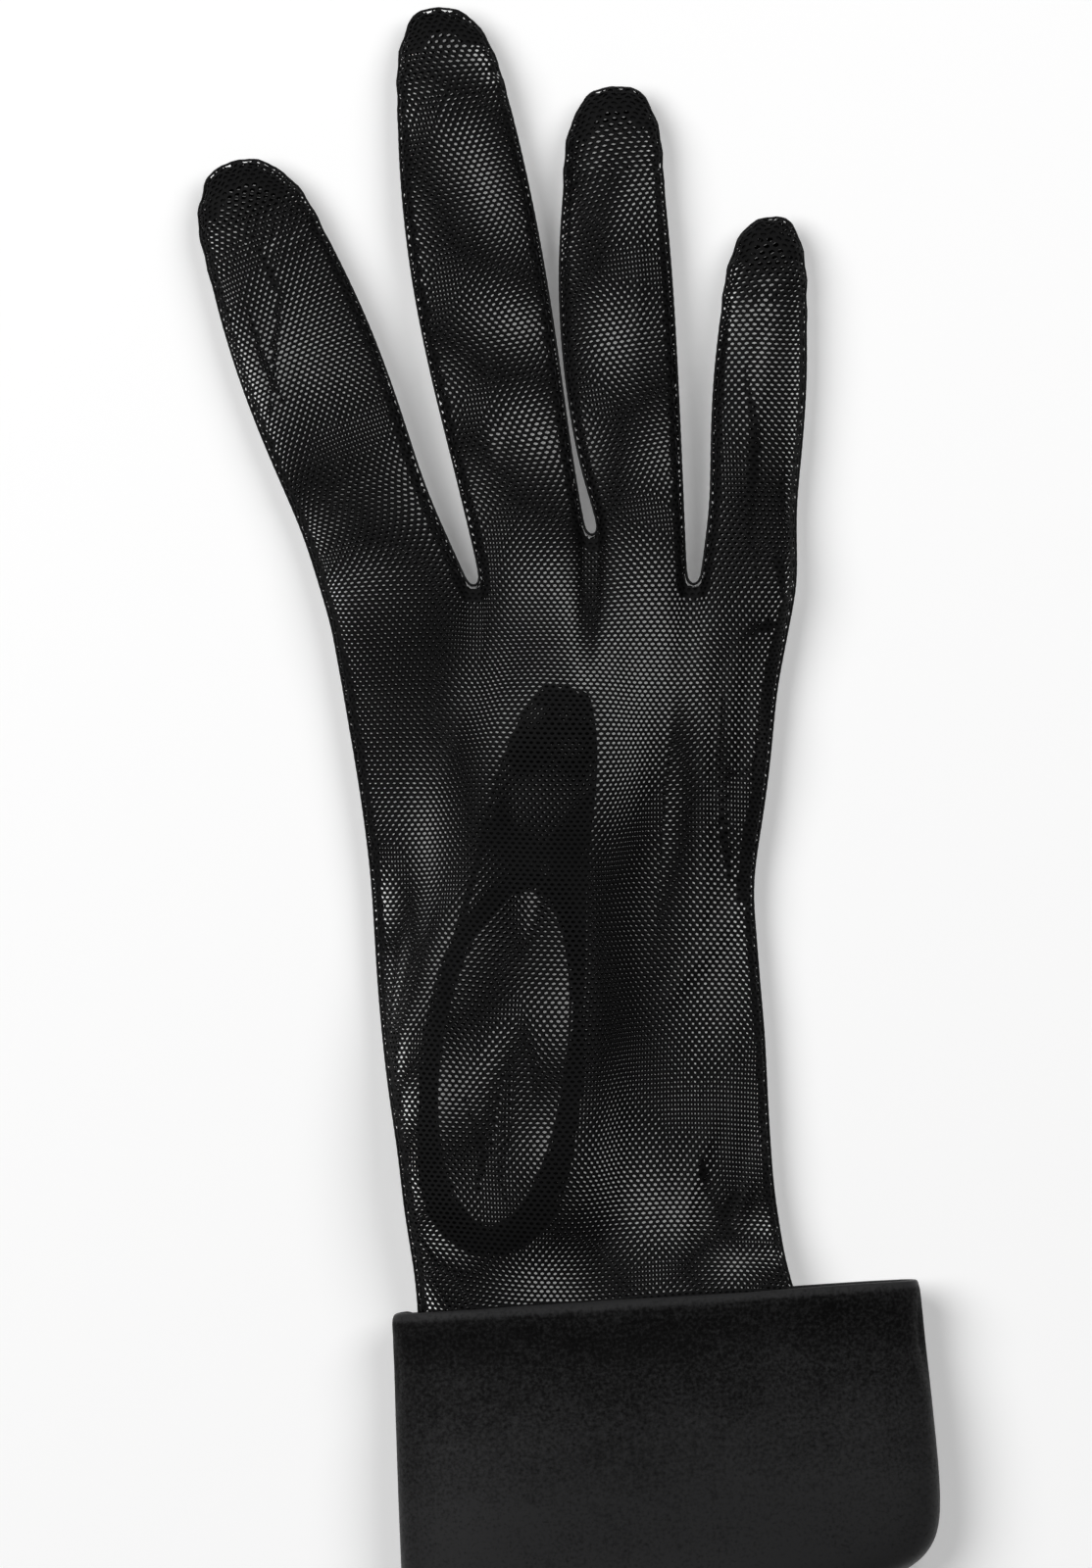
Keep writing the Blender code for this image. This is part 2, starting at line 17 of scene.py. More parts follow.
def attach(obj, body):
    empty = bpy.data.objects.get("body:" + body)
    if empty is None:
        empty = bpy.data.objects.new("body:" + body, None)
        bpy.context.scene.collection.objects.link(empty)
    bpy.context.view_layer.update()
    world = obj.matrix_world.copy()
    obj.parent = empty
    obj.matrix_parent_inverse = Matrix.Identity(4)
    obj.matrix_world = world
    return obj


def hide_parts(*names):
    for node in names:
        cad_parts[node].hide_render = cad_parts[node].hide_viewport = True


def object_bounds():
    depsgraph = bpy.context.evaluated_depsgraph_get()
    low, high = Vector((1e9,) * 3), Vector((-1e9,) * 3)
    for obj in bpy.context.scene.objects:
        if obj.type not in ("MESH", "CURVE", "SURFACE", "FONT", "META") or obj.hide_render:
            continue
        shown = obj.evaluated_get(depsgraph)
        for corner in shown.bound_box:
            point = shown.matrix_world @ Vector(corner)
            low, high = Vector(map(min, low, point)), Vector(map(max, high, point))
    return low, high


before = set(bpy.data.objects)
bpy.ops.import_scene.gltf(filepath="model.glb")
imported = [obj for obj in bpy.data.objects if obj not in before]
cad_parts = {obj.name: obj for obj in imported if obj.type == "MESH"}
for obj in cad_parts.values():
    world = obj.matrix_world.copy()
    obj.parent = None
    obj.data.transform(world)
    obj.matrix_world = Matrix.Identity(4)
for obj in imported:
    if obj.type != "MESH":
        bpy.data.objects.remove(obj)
CAD_BOUNDS = [list(corner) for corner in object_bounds()]
GLOVE_LOW, GLOVE_HIGH = (Vector(corner) for corner in CAD_BOUNDS)
print("the glove is", [round(1000 * size, 1) for size in GLOVE_HIGH - GLOVE_LOW], "mm")

# %% [markdown]
# Camera and light come before the cloth, so that each piece can be looked at as soon as it is made.
# The glove was pictured lying on white, from straight above, through a long lens that keeps its edges
# parallel. An orthographic camera would do that too, but a long lens also shows depth from the sides.
# A large soft lamp on each side fills the shadows under the net.

# %% Camera, lights and floor
SCENE = bpy.context.scene
FIELD_HEIGHT = 0.2560  # metres of table from the top of the picture to its bottom
PHOTO_WIDTH, PHOTO_HEIGHT = 1114, 1600
CAMERA_HEIGHT = 2.2
SENSOR = 36.0
PAPER_GLOW = 0.18  # keeps the paper white in the narrow gaps and under the net
VIEW_CENTRE = Vector((-0.0043, 0.0040, 0.0))  # the point of the table under the lens
TABLE_SIZE = 6.0
TABLE_TOP = -0.0004  # just below the cloth, so that the two never lie in one plane
LAMP_SIZE = 1.4
OVERHEAD_START = 0.55  # height in the sky from which the studio grows dim


def add_camera():
    bpy.ops.object.camera_add(location=VIEW_CENTRE + Vector((0, 0, CAMERA_HEIGHT)), rotation=(0, 0, 0))
    camera = bpy.context.object
    camera.name = "camera"
    camera.data.sensor_fit = "VERTICAL"
    camera.data.sensor_height = SENSOR
    camera.data.lens = SENSOR * CAMERA_HEIGHT / FIELD_HEIGHT
    camera.data.clip_end = 20.0
    SCENE.camera = camera


def add_lamp(name, place, power):
    bpy.ops.object.light_add(type="AREA", location=place)
    lamp = bpy.context.object
    lamp.name = name
    lamp.data.shape = "DISK"
    lamp.data.size = LAMP_SIZE
    lamp.data.energy = power
    lamp.rotation_euler = (-Vector(place)).to_track_quat("-Z", "Y").to_euler()


def give(node, values):
    """Values or links for a node's inputs, by name."""
    for label, value in values.items():
        if isinstance(value, bpy.types.NodeSocket):
            node.id_data.links.new(value, node.inputs[label])
        else:
            node.inputs[label].default_value = value


def add(tree, kind, inputs=None, **settings):
    """A node with its properties set, and its inputs by name."""
    node = tree.nodes.new(kind)
    for label, value in settings.items():
        setattr(node, label, value)
    give(node, inputs or {})
    return node


def plain_material(name, color, values):
    """A new material with one shader, and the shader."""
    made = bpy.data.materials.new(name)
    made.use_nodes = True
    shader = made.node_tree.nodes["Principled BSDF"]
    give(shader, {"Base Color": (*color, 1.0), **values})
    return made, shader


def add_floor():
    bpy.ops.mesh.primitive_plane_add(size=TABLE_SIZE, location=(0, 0, TABLE_TOP))
    floor = bpy.context.object
    floor.name = "table"
    glow = {"Roughness": 0.9, "Emission Color": (1.0, 1.0, 1.0, 1.0), "Emission Strength": PAPER_GLOW}
    floor.data.materials.append(plain_material("white_paper", (0.94, 0.94, 0.94), glow)[0])


def add_world(sides, overhead):
    """A white studio that is bright all round and dimmer overhead, where the camera hangs."""
    world = bpy.data.worlds.new("studio")
    SCENE.world = world
    world.use_nodes = True
    tree = world.node_tree
    sky = add(tree, "ShaderNodeTexCoord").outputs["Generated"]
    height = add(tree, "ShaderNodeSeparateXYZ", {"Vector": sky}).outputs["Z"]
    limits = {"From Min": OVERHEAD_START, "From Max": 1.0, "To Min": sides, "To Max": overhead}
    fade = add(tree, "ShaderNodeMapRange", {"Value": height, **limits}, interpolation_type="SMOOTHSTEP")
    give(tree.nodes["Background"], {"Strength": fade.outputs["Result"]})


add_camera()
add_lamp("lamp_left", (-1.1, 0.5, 1.5), 26.0)
add_lamp("lamp_right", (1.0, 0.9, 1.6), 19.0)
add_floor()
add_world(1.12, 0.36)
SCENE.view_settings.view_transform = "Standard"
print("the picture shows", round(1000 * FIELD_HEIGHT * PHOTO_WIDTH / PHOTO_HEIGHT), "mm across")

# %% [markdown]
# A glover cuts net flat and only then sews it to shape. The same way is taken here: the outer side of
# each solid is copied as a sheet, flattened into a pattern by unwrapping it, covered with net while it
# is flat, and the net is then carried back to the sheet's shape. Net that was simply dropped on the
# form from above would have long torn holes on its steep sides.


# %% Helpers for meshes
JOIN_DISTANCE = 1e-5
QUAD_LIMIT = 1.2  # radians, wide enough to pair every two triangles that can be paired
BASE_ANGLE = math.radians(0.3)
SMOOTH_ANGLE = math.radians(60)


def activate(piece):
    """Leaves only this piece selected, in object mode."""
    if bpy.context.object and bpy.context.object.mode != "OBJECT":
        bpy.ops.object.mode_set(mode="OBJECT")
    bpy.ops.object.select_all(action="DESELECT")
    bpy.context.view_layer.objects.active = piece
    piece.select_set(True)


def edit(piece, *steps):
    """Runs operators in edit mode with everything selected."""
    activate(piece)
    bpy.ops.object.mode_set(mode="EDIT")
    bpy.ops.mesh.select_all(action="SELECT")
    for step in steps:
        step()
    bpy.ops.object.mode_set(mode="OBJECT")


def linked(name, mesh):
    piece = bpy.data.objects.new(name, mesh)
    SCENE.collection.objects.link(piece)
    return piece


def merged_copy(node, name):
    """A copy of a CAD node's mesh with its loose triangles joined."""
    piece = linked(name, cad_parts[node].data.copy())
    piece.data.materials.clear()
    edit(piece, lambda: bpy.ops.mesh.remove_doubles(threshold=JOIN_DISTANCE))
    return piece


def pair_triangles():
    bpy.ops.mesh.tris_convert_to_quads(face_threshold=QUAD_LIMIT, shape_threshold=QUAD_LIMIT)


def subdivide(piece, levels):
    smooth = piece.modifiers.new("smooth", "SUBSURF")
    smooth.levels = smooth.render_levels = levels
    activate(piece)
    bpy.ops.object.modifier_apply(modifier="smooth")


def read(items, kind, width=3, of=float):
    """One property of all of a mesh's items, as an array of rows."""
    values = np.empty(len(items) * width, of)
    items.foreach_get(kind, values)
    return values.reshape(-1, width)


def place_corners(mesh, points):
    mesh.vertices.foreach_set("co", points.ravel())
    mesh.update()


def triangle_count(piece):
    return sum(len(face.vertices) - 2 for face in piece.data.polygons)


def outer_sheet(node, name, keeps, pick, flat_base=False):
    """One smooth open sheet from the faces of a node that keeps(face) is true for, with a UV map. Where
    they fall into several parts, it is the part with the highest pick(faces). A flat base of long thin
    triangles is made one face first, because they would not smooth evenly."""
    piece = merged_copy(node, name)
    sheet = bmesh.new()
    sheet.from_mesh(piece.data)
    sheet.normal_update()
    best = max(connected_parts([face for face in sheet.faces if keeps(face)]), key=pick)
    bmesh.ops.delete(sheet, geom=[face for face in sheet.faces if face not in best], context="FACES")
    sheet.to_mesh(piece.data)
    sheet.free()
    if flat_base:
        edit(piece, lambda: bpy.ops.mesh.dissolve_limited(angle_limit=BASE_ANGLE))
    edit(piece, pair_triangles, lambda: bpy.ops.uv.unwrap(method="ANGLE_BASED", margin=0.0))
    subdivide(piece, 2)
    return piece


def connected_parts(faces):
    """Groups of faces that share smooth edges, each a set."""
    left, parts = set(faces), []
    while left:
        first = left.pop()
        part, todo = {first}, [first]
        while todo:
            for edge in todo.pop().edges:
                for near in edge.link_faces:
                    if near in left and edge.calc_face_angle(0.0) < SMOOTH_ANGLE:
                        left.remove(near)
                        part.add(near)
                        todo.append(near)
        parts.append(part)
    return parts


def area_of(part):
    return sum(face.calc_area() for face in part)


def height_of(part):
    return max(face.calc_center_median().z for face in part)


def depth_of(part):
    return -min(face.calc_center_median().z for face in part)


def crotch_side(part):
    """High for the side of a fork that its crotch shows."""
    lowest = min(part, key=lambda face: face.calc_center_median().y)
    return lowest.normal.y * area_of(part)


def boundary_loops(form):
    """The closed edges of a form, each a list of its corner numbers in order."""
    edges = {}
    mesh = bmesh.new()
    mesh.from_mesh(form.data)
    for edge in mesh.edges:
        if edge.is_boundary:
            a, b = edge.verts[0].index, edge.verts[1].index
            edges.setdefault(a, []).append(b)
            edges.setdefault(b, []).append(a)
    mesh.free()
    loops = []
    while edges:
        loop = [next(iter(edges))]
        while True:
            onward = [corner for corner in edges.pop(loop[-1], []) if corner in edges]
            if not onward:
                break
            loop.append(onward[0])
        loops.append(loop)
    return loops


def evened(points, rounds):
    """A closed line with its small corners smoothed away."""
    for _ in range(rounds):
        points = (np.roll(points, 1, axis=0) + 2 * points + np.roll(points, -1, axis=0)) / 4
    return points


# %% [markdown]
# The forms are the sheets that the net will lie on. Each is the outer side of one solid, picked out by
# where its faces look. Drawing them anew would be freer, but copies are sure to fit what they dress.

# %% Forms for the net
FORK_NODES = ("fork_index_middle", "fork_middle_ring", "fork_ring_little")
LEAST_RISE = 0.02  # of the normal of a face that looks up
FORK_RISE = 0.5  # of the normal of a face that looks sideways, at most


def looks_up(face):
    return face.normal.z > LEAST_RISE


def looks_down(face):
    return face.normal.z < -LEAST_RISE


def looks_sideways(face):
    return abs(face.normal.z) < FORK_RISE


FORMS = {
    "back": outer_sheet("back_panel", "back_form", looks_up, area_of),
    "palm": outer_sheet("palm_panel", "palm_form", looks_down, area_of),
    "thumb_upper": outer_sheet("thumb", "thumb_upper_form", looks_up, height_of),
    "thumb_lower": outer_sheet("thumb", "thumb_lower_form", looks_down, depth_of, flat_base=True),
}
for name in FORK_NODES:
    FORMS[name] = outer_sheet(name, name + "_form", looks_sideways, crotch_side)
for name, form in FORMS.items():
    area = sum(face.area for face in form.data.polygons)
    print(name, len(form.data.vertices), "corners", round(1e6 * area), "mm2")

# %% [markdown]
# Worn net never lies quite flat. Each form gets rounded fingertips and the soft creases of cloth that
# was folded and smoothed out by hand. A cloth simulation could crease it, but not where the real glove
# is creased. So the corners are moved by a table of creases. The moves depend on the place in the plan
# alone, and pieces that share a seam stay together.

# %% Creases and rounded tips
# The fingers from the index on. left and right are the ends of a finger's base, lean is in degrees, and
# square and tilt say how much its tip spreads and slants, as shares of the distance from its middle.
FINGERS = (
    {"left": (-0.03921, 0.03013), "right": (-0.01735, 0.03712),
     "lean": 20.7, "length": 0.0755, "width": 0.0230, "square": 0.12, "tilt": -0.06},
    {"left": (-0.01475, 0.03712), "right": (0.00188, 0.04539),
     "lean": 9.7, "length": 0.0893, "width": 0.0216, "square": 0.08, "tilt": -0.14},
    {"left": (0.00448, 0.04539), "right": (0.01843, 0.03736),
     "lean": 3.5, "length": 0.0751, "width": 0.0186, "square": 0.20, "tilt": -0.04},
    {"left": (0.02103, 0.03736), "right": (0.03647, 0.03656),
     "lean": -3.2, "length": 0.0582, "width": 0.0150, "square": 0.14, "tilt": 0.16},
)
TIP_ROUNDING = 0.0012  # how far the middle of a fingertip is pushed out
TIP_HALF_WIDTH = 0.0042
TIP_REACH = 0.0060
SPREAD_REACH = 0.0180  # over which a finger widens to its squarer tip
TIP_CRUMPLE = 0.00028  # how far the outline of a fingertip wavers
CROWN_WAVES, FLANK_WAVES = 2300, 1300  # radians a metre, over the tip and down its sides
CROWN_PHASE, FLANK_PHASE = 1.7, 2.3  # radians from one finger to the next, so that no two are alike
HAND = -1  # the label of what belongs to no finger
ROOT = 0.0018  # how far up the fingers the hand's own cloth reaches, past the crotches
FINGER_REACH = 0.65  # how far from its middle line a point may belong to a finger, as a share of its width
CUFF_TOP = (0.01356, -0.07941)  # middle of the cuff's upper edge
CUFF_LEAN = 3.9
CUFF_HEIGHT = 0.0477
# Creases in millimetres of the plan: from, to, half width, and height of the ridge
CREASES = (
    ((28.4, -12.6), (15.5, -33.0), 1.7, 1.3),
    ((28.6, -12.0), (20.5, 6.0), 1.5, 1.0),
    ((27.4, 30.0), (23.6, -10.0), 1.6, 1.1),
    ((23.0, 22.0), (20.0, -24.0), 1.3, 0.8),
    ((31.0, 24.0), (27.5, 0.0), 1.2, 0.9),
    ((24.8, -30.0), (26.4, -58.0), 1.4, 0.8),
    ((22.4, -48.0), (17.4, -76.0), 1.7, 1.1),
    ((30.0, -50.0), (27.0, -74.0), 1.2, 0.7),
    ((-24.0, -8.0), (-20.0, -52.0), 1.5, 0.7),
    ((-28.6, 10.0), (-26.0, -30.0), 1.2, 0.5),
    ((-18.0, 26.0), (-12.0, -4.0), 1.8, 0.7),
    ((6.0, 34.0), (8.5, 4.0), 1.6, 0.5),
    ((31.8, 78.0), (28.8, 46.0), 1.2, 0.8),
    ((26.4, 62.0), (28.0, 40.0), 1.0, 0.6),
    ((-50.0, 92.0), (-43.0, 62.0), 1.3, 0.7),
    ((-44.0, 84.0), (-34.0, 46.0), 1.2, 0.5),
    ((-19.4, 112.0), (-12.0, 66.0), 1.3, 0.6),
    ((9.6, 100.0), (12.0, 62.0), 1.2, 0.5),
)
RIPPLE_HEIGHT = 0.00022
RIPPLE_SCALE = 130.0
OUTLINE_ROUNDS = 12  # of smoothing along a form's edge
CREASE_BEND = 0.0008  # how far a crease strays from its straight line
CREASE_WAVES, CREASE_PHASE = 5, 4000  # radians along a crease, and a metre of where it starts
CREASE_SPREAD = 1.4
CREASE_TAPER, PLEAT_TAPER = 0.7, 0.6  # how bluntly the ends narrow, less being blunter
PALM_SHARE = 0.35  # how much of the back's creases the palm takes
RIPPLE_START = 0.0015  # cloth lower than this lies pressed on the table
CUFF_FADE = 0.004  # over which the creases fade before they go under the cuff
FADE_AHEAD = 1.5  # where they start to fade, as a share of CUFF_FADE above the cuff
PLEAT_WAVER = 0.25
PLEAT_WAVES = (1900, 2600)  # radians a metre, across and along the glove
# Where the back's cloth is doubled over in a flat pleat, in millimetres of the plan: line and half width
PLEATS = (
    (((24.5, 21.0), (24.1, 5.6), (25.6, -13.4)), 1.3),
    (((26.4, 27.0), (30.0, 29.6), (34.2, 30.0)), 1.2),
    (((31.4, 9.4), (28.0, 6.0), (24.8, 5.2)), 1.0),
    (((29.0, -12.8), (26.6, -6.4), (23.8, 2.4)), 1.0),
    (((27.6, 74.0), (29.6, 62.0), (28.8, 46.0), (30.4, 34.0)), 1.2),
    (((34.6, 57.0), (33.0, 44.0), (34.6, 32.0)), 1.1),
    (((27.2, -61.0), (24.4, -68.0), (18.8, -73.4)), 1.3),
    (((20.2, -55.0), (22.6, -63.0), (27.6, -72.6)), 1.2),
    (((-57.1, 96.1), (-52.2, 93.0), (-47.5, 84.2), (-48.6, 72.0), (-49.5, 62.0)), 0.75),
    (((-53.6, 84.0), (-50.4, 73.0), (-45.6, 63.6)), 0.75),
    (((-17.6, -46.0), (-14.6, -55.6), (-15.8, -64.0)), 0.9),
    (((-9.4, -49.0), (-11.8, -58.6), (-10.4, -66.0)), 0.8),
)


def smooth_step(values):
    values = np.clip(values, 0.0, 1.0)
    return values * values * (3 - 2 * values)


def finger_frame(finger):
    """The middle of a finger's base, and the directions across it and up to its tip."""
    lean = math.radians(finger["lean"])
    across = np.array((math.cos(lean), math.sin(lean)))
    return (np.array(finger["left"]) + finger["right"]) / 2, across, np.array((-across[1], across[0]))


def above_root(plan, finger):
    """Distance past the line that the hand's own cloth reaches at the root of a finger, in metres."""
    left, run = np.array(finger["left"]), np.array(finger["right"]) - finger["left"]
    return (run[0] * (plan[:, 1] - left[1]) - run[1] * (plan[:, 0] - left[0])) / np.hypot(*run) - ROOT


def finger_labels(plan):
    """The finger that each point in the plan belongs to, or HAND."""
    labels, best = np.full(len(plan), HAND), np.full(len(plan), np.inf)
    for number, finger in enumerate(FINGERS):
        base, across, up = finger_frame(finger)
        beside = np.abs((plan - base) @ across) / finger["width"]
        chosen = (above_root(plan, finger) > 0) & (beside < best) & (beside < FINGER_REACH)
        labels[chosen], best[chosen] = number, beside[chosen]
    return labels


def by_finger(plan):
    """For each finger: its row, which points are its own, where they lie across it and up it, measured
    from its base, and its two directions."""
    labels = finger_labels(plan)
    for number, finger in enumerate(FINGERS):
        base, across, up = finger_frame(finger)
        yield finger, labels == number, (plan - base) @ across, (plan - base) @ up, across, up


def below_cuff_top(plan):
    """Distance below the cuff's upper edge, in metres, for an array of points in the plan."""
    lean = math.radians(CUFF_LEAN)
    return (plan - CUFF_TOP) @ (math.sin(lean), -math.cos(lean))


def share_along(plan, start, run):
    """How far along a line each point lies, from 0 at its start to 1 at its end."""
    return np.clip((plan - start) @ run / (run @ run), 0.0, 1.0)


def crease_height(plan):
    """Height of all creases at an array of points in the plan."""
    total = np.zeros(len(plan))
    for first, last, width, height in CREASES:
        start = np.array(first) / 1000
        run = np.array(last) / 1000 - start
        along = share_along(plan, start, run)
        bend = CREASE_BEND * np.sin(CREASE_WAVES * along + CREASE_PHASE * start[0])
        side = np.array((-run[1], run[0])) / np.linalg.norm(run)
        away = np.linalg.norm(plan - start - along[:, None] * run - bend[:, None] * side, axis=1)
        away = away / (width / 1000)
        ridge = (1 - away ** 2) * np.exp(-away ** 2 / CREASE_SPREAD)
        total += height / 1000 * ridge * np.sin(math.pi * along) ** CREASE_TAPER
    return total * (1 - smooth_step(below_cuff_top(plan) / CUFF_FADE + FADE_AHEAD))


def in_pleat(points):
    """Whether each point lies where a pleat doubles the cloth. A pleat narrows to nothing at its ends."""
    plan, inside = points[:, :2], np.zeros(len(points), bool)
    ragged = 1 + PLEAT_WAVER * np.sin(plan * PLEAT_WAVES).prod(axis=1)
    for places, width in PLEATS:
        line = np.array(places) / 1000
        lengths = np.linalg.norm(np.diff(line, axis=0), axis=1)
        passed = 0.0
        for start, end, length in zip(line, line[1:], lengths):
            along = share_along(plan, start, end - start)
            away = np.linalg.norm(plan - start - along[:, None] * (end - start), axis=1)
            share = (passed + along * length) / lengths.sum()
            narrowed = np.sin(math.pi * share).clip(0.0, 1.0) ** PLEAT_TAPER
            inside |= away < width / 1000 * ragged * narrowed
            passed += length
    return inside


def rounded_tips(plan):
    """How far each point moves in the plan so that the fingertips end in a slightly crumpled arc."""
    moves = np.zeros_like(plan)
    for number, (finger, mine, beside, along, across, up) in enumerate(by_finger(plan)):
        to_tip = along - finger["length"]
        near = smooth_step((to_tip + TIP_REACH) / TIP_REACH) * mine
        moves += (near * (1 - (beside / TIP_HALF_WIDTH) ** 2).clip(-1.0, 1.0) * TIP_ROUNDING)[:, None] * up
        spread = smooth_step((to_tip + SPREAD_REACH) / SPREAD_REACH) * mine * beside
        moves += spread[:, None] * (finger["square"] * across + finger["tilt"] * up)
        crown = near * np.sin(CROWN_WAVES * beside + CROWN_PHASE * number)
        flank = smooth_step((to_tip + SPREAD_REACH) / TIP_REACH) * mine
        flank = flank * np.sin(FLANK_WAVES * along + FLANK_PHASE * number)
        moves += TIP_CRUMPLE * (crown[:, None] * up + flank[:, None] * across)
    return moves


def weather(form, creased):
    """Rounds a form's fingertips, and gives it ripples and its share of the creases."""
    points = read(form.data.vertices, "co")
    plan = points[:, :2].copy()
    ripples = np.array([noise.noise(Vector(point) * RIPPLE_SCALE) for point in points])
    points[:, :2] += rounded_tips(plan)
    points[:, 2] += creased * crease_height(plan) + RIPPLE_HEIGHT * ripples * (points[:, 2] > RIPPLE_START)
    place_corners(form.data, points)


def round_outline(form):
    """Takes the corners out of a form's edges, and leaves its middle as it is."""
    for loop in boundary_loops(form):
        line = evened(np.array([form.data.vertices[corner].co for corner in loop]), OUTLINE_ROUNDS)
        for corner, place in zip(loop, line):
            form.data.vertices[corner].co = place


for name, form in FORMS.items():
    if "thumb" in name:
        round_outline(form)
    weather(form, {"back": 1.0, "palm": PALM_SHARE}.get(name, 0.0))
print("creases", len(CREASES), "with ridges up to", max(row[-1] for row in CREASES), "mm")

# %% [markdown]
# The net is a honeycomb of flat ribbons. Each hole is wider than it is tall, because the cloth is
# stretched across the hand. A see-through material could fake it, but real holes let two layers shift
# over each other, and that makes the shimmer of tulle. A cell owns the two junctions on its right side,
# and each junction is a small triangle from which three ribbons run to its neighbours. Whole arrays of
# cells keep this quick, although there are some forty thousand of them.

# %% The honeycomb, made flat
CELL_WIDTH = 0.00112
CELL_PITCH = 0.00074  # from one row of holes to the next
RIBBON = 0.00043
DRIFT = 0.00045  # how far the rows wander
SIDE_SHARE = 0.6  # how much of its height a shallow form's side adds to the pattern
SIDE_LEAN = 0.3  # of a normal, from which on a face counts in full as a side
TURN_REACH = 0.020  # length over which a row of holes turns to follow its finger
LEAST_AREA = 1e-16  # of a triangle, in square metres, so that nothing is divided by zero
UV_SIZE = 0.3  # metres of cloth across the whole UV map


def read_form(form, shallow=False):
    """A form's corners, normals, triangles and flat pattern as arrays. The pattern is in metres and lies
    as the form lies when seen from above."""
    mesh = form.data
    mesh.calc_loop_triangles()
    points, normals = read(mesh.vertices, "co"), read(mesh.vertices, "normal")
    triangles = read(mesh.loop_triangles, "vertices", of=int)
    pattern = np.zeros((len(points), 2))
    pattern[read(mesh.loops, "vertex_index", 1, int)[:, 0]] = read(mesh.uv_layers.active.data, "uv", 2)
    pattern = opened_out(points, normals) if shallow else laid_out(points, pattern, triangles)
    return {"points": points, "normals": normals, "triangles": triangles, "pattern": pattern}


def opened_out(points, normals):
    """The pattern of a shallow form: its plan, with the sides folded outwards from the flat middle."""
    flat_height = np.median(points[:, 2])
    outward = normals[:, :2] / np.maximum(np.linalg.norm(normals[:, :2], axis=1), SIDE_LEAN)[:, None]
    return points[:, :2] + outward * SIDE_SHARE * np.abs(points[:, 2] - flat_height)[:, None]


def laid_out(points, pattern, triangles):
    """The pattern scaled to the form's real area, and turned and mirrored to match its plan."""
    first, second, third = (points[triangles[:, k]] for k in range(3))
    real = np.linalg.norm(np.cross(second - first, third - first), axis=1).sum()
    origin = pattern[triangles[:, 0]]
    a, b = pattern[triangles[:, 1]] - origin, pattern[triangles[:, 2]] - origin
    flat = np.abs(a[:, 0] * b[:, 1] - a[:, 1] * b[:, 0]).sum()
    flat_place = (pattern - pattern.mean(axis=0)) @ (1, 1j) * math.sqrt(real / flat)
    plan = (points[:, :2] - points[:, :2].mean(axis=0)) @ (1, 1j)
    same, mirrored = (np.conj(flat_place) * plan).sum(), (flat_place * plan).sum()
    if abs(mirrored) > abs(same):
        flat_place, same = np.conj(flat_place), mirrored
    flat_place = flat_place * same / abs(same) + points[:, :2].mean(axis=0) @ (1, 1j)
    return np.column_stack((flat_place.real, flat_place.imag))


def corner_places(columns, rows, shift):
    """The six corners of each cell's two junctions, as an array of (rows, columns, 6, 2)."""
    half, third = CELL_WIDTH / 2, CELL_PITCH / 3
    up, slope = np.array((0.0, 1.0)), np.array((half, third)) / math.hypot(half, third)
    across = slope * (-1, 1)

    def between(a, b):
        return (a + b) * RIBBON / 2 / abs(a[0] * b[1] - a[1] * b[0])

    upper = [between(-up, across), between(across, slope), between(slope, -up)]
    lower = [between(up, -slope), between(-slope, -across), between(-across, up)]
    offsets = np.array([(half, third) + step for step in upper] + [(half, -third) + step for step in lower])
    column, row = np.meshgrid(columns, rows)
    centres = np.stack(((column + 0.5 * (row % 2) + shift) * CELL_WIDTH, (row + shift) * CELL_PITCH), axis=-1)
    return centres[:, :, None, :] + offsets


def cell_faces(columns, rows):
    """Corner numbers of the triangles and quads of all cells."""
    index = np.arange(len(columns) * len(rows)).reshape(len(rows), len(columns))
    odd = rows[:-1, None] % 2
    step = np.arange(1, len(columns) - 1)[None, :]
    up_left = np.take_along_axis(index[1:], step - 1 + odd, axis=1)
    up_right = np.take_along_axis(index[1:], step + odd, axis=1)
    own, up_left, up_right = (6 * part.ravel() for part in (index[:-1, 1:-1], up_left, up_right))
    triangles = np.concatenate((
        np.column_stack((own, own + 2, own + 1)),
        np.column_stack((own + 3, own + 4, own + 5)),
    ))
    quads = np.concatenate((
        np.column_stack((own + 3, own + 5, own + 2, own)),
        np.column_stack((own, own + 1, up_left + 5, up_left + 4)),
        np.column_stack((own + 2, up_right + 4, up_right + 3, own + 1)),
    ))
    return triangles, quads


# %% [markdown]
# The rows of holes follow each finger, as they do in a glove whose fingers are cut straight from the
# cloth and only splay when it is worn. So the pattern is used in five parts: the hand, and each finger
# turned upright about its base. Every flat point of the net is then looked up in the pattern's
# triangles, and lands at the same place in the same triangle of the form.

# %% Carrying the net to the form
def owners(points, triangles):
    """The finger that each triangle of a form belongs to, or HAND. What hangs together past the roots is
    one finger, so two fingers that lie close to each other stay apart."""
    middles = points[triangles, :2].mean(axis=1)
    labels = finger_labels(middles)
    past = np.flatnonzero(labels != HAND)
    group, before = np.arange(len(points)), None
    while before is None or (group != before).any():
        before = group.copy()
        lowest = group[triangles[past]].min(axis=1)
        np.minimum.at(group, triangles[past].ravel(), np.repeat(lowest, 3))
        group = group[group]
    root = group[triangles[past, 0]]
    for one in np.unique(root):
        mine = past[root == one]
        labels[mine] = np.bincount(labels[mine]).argmax()
    return labels


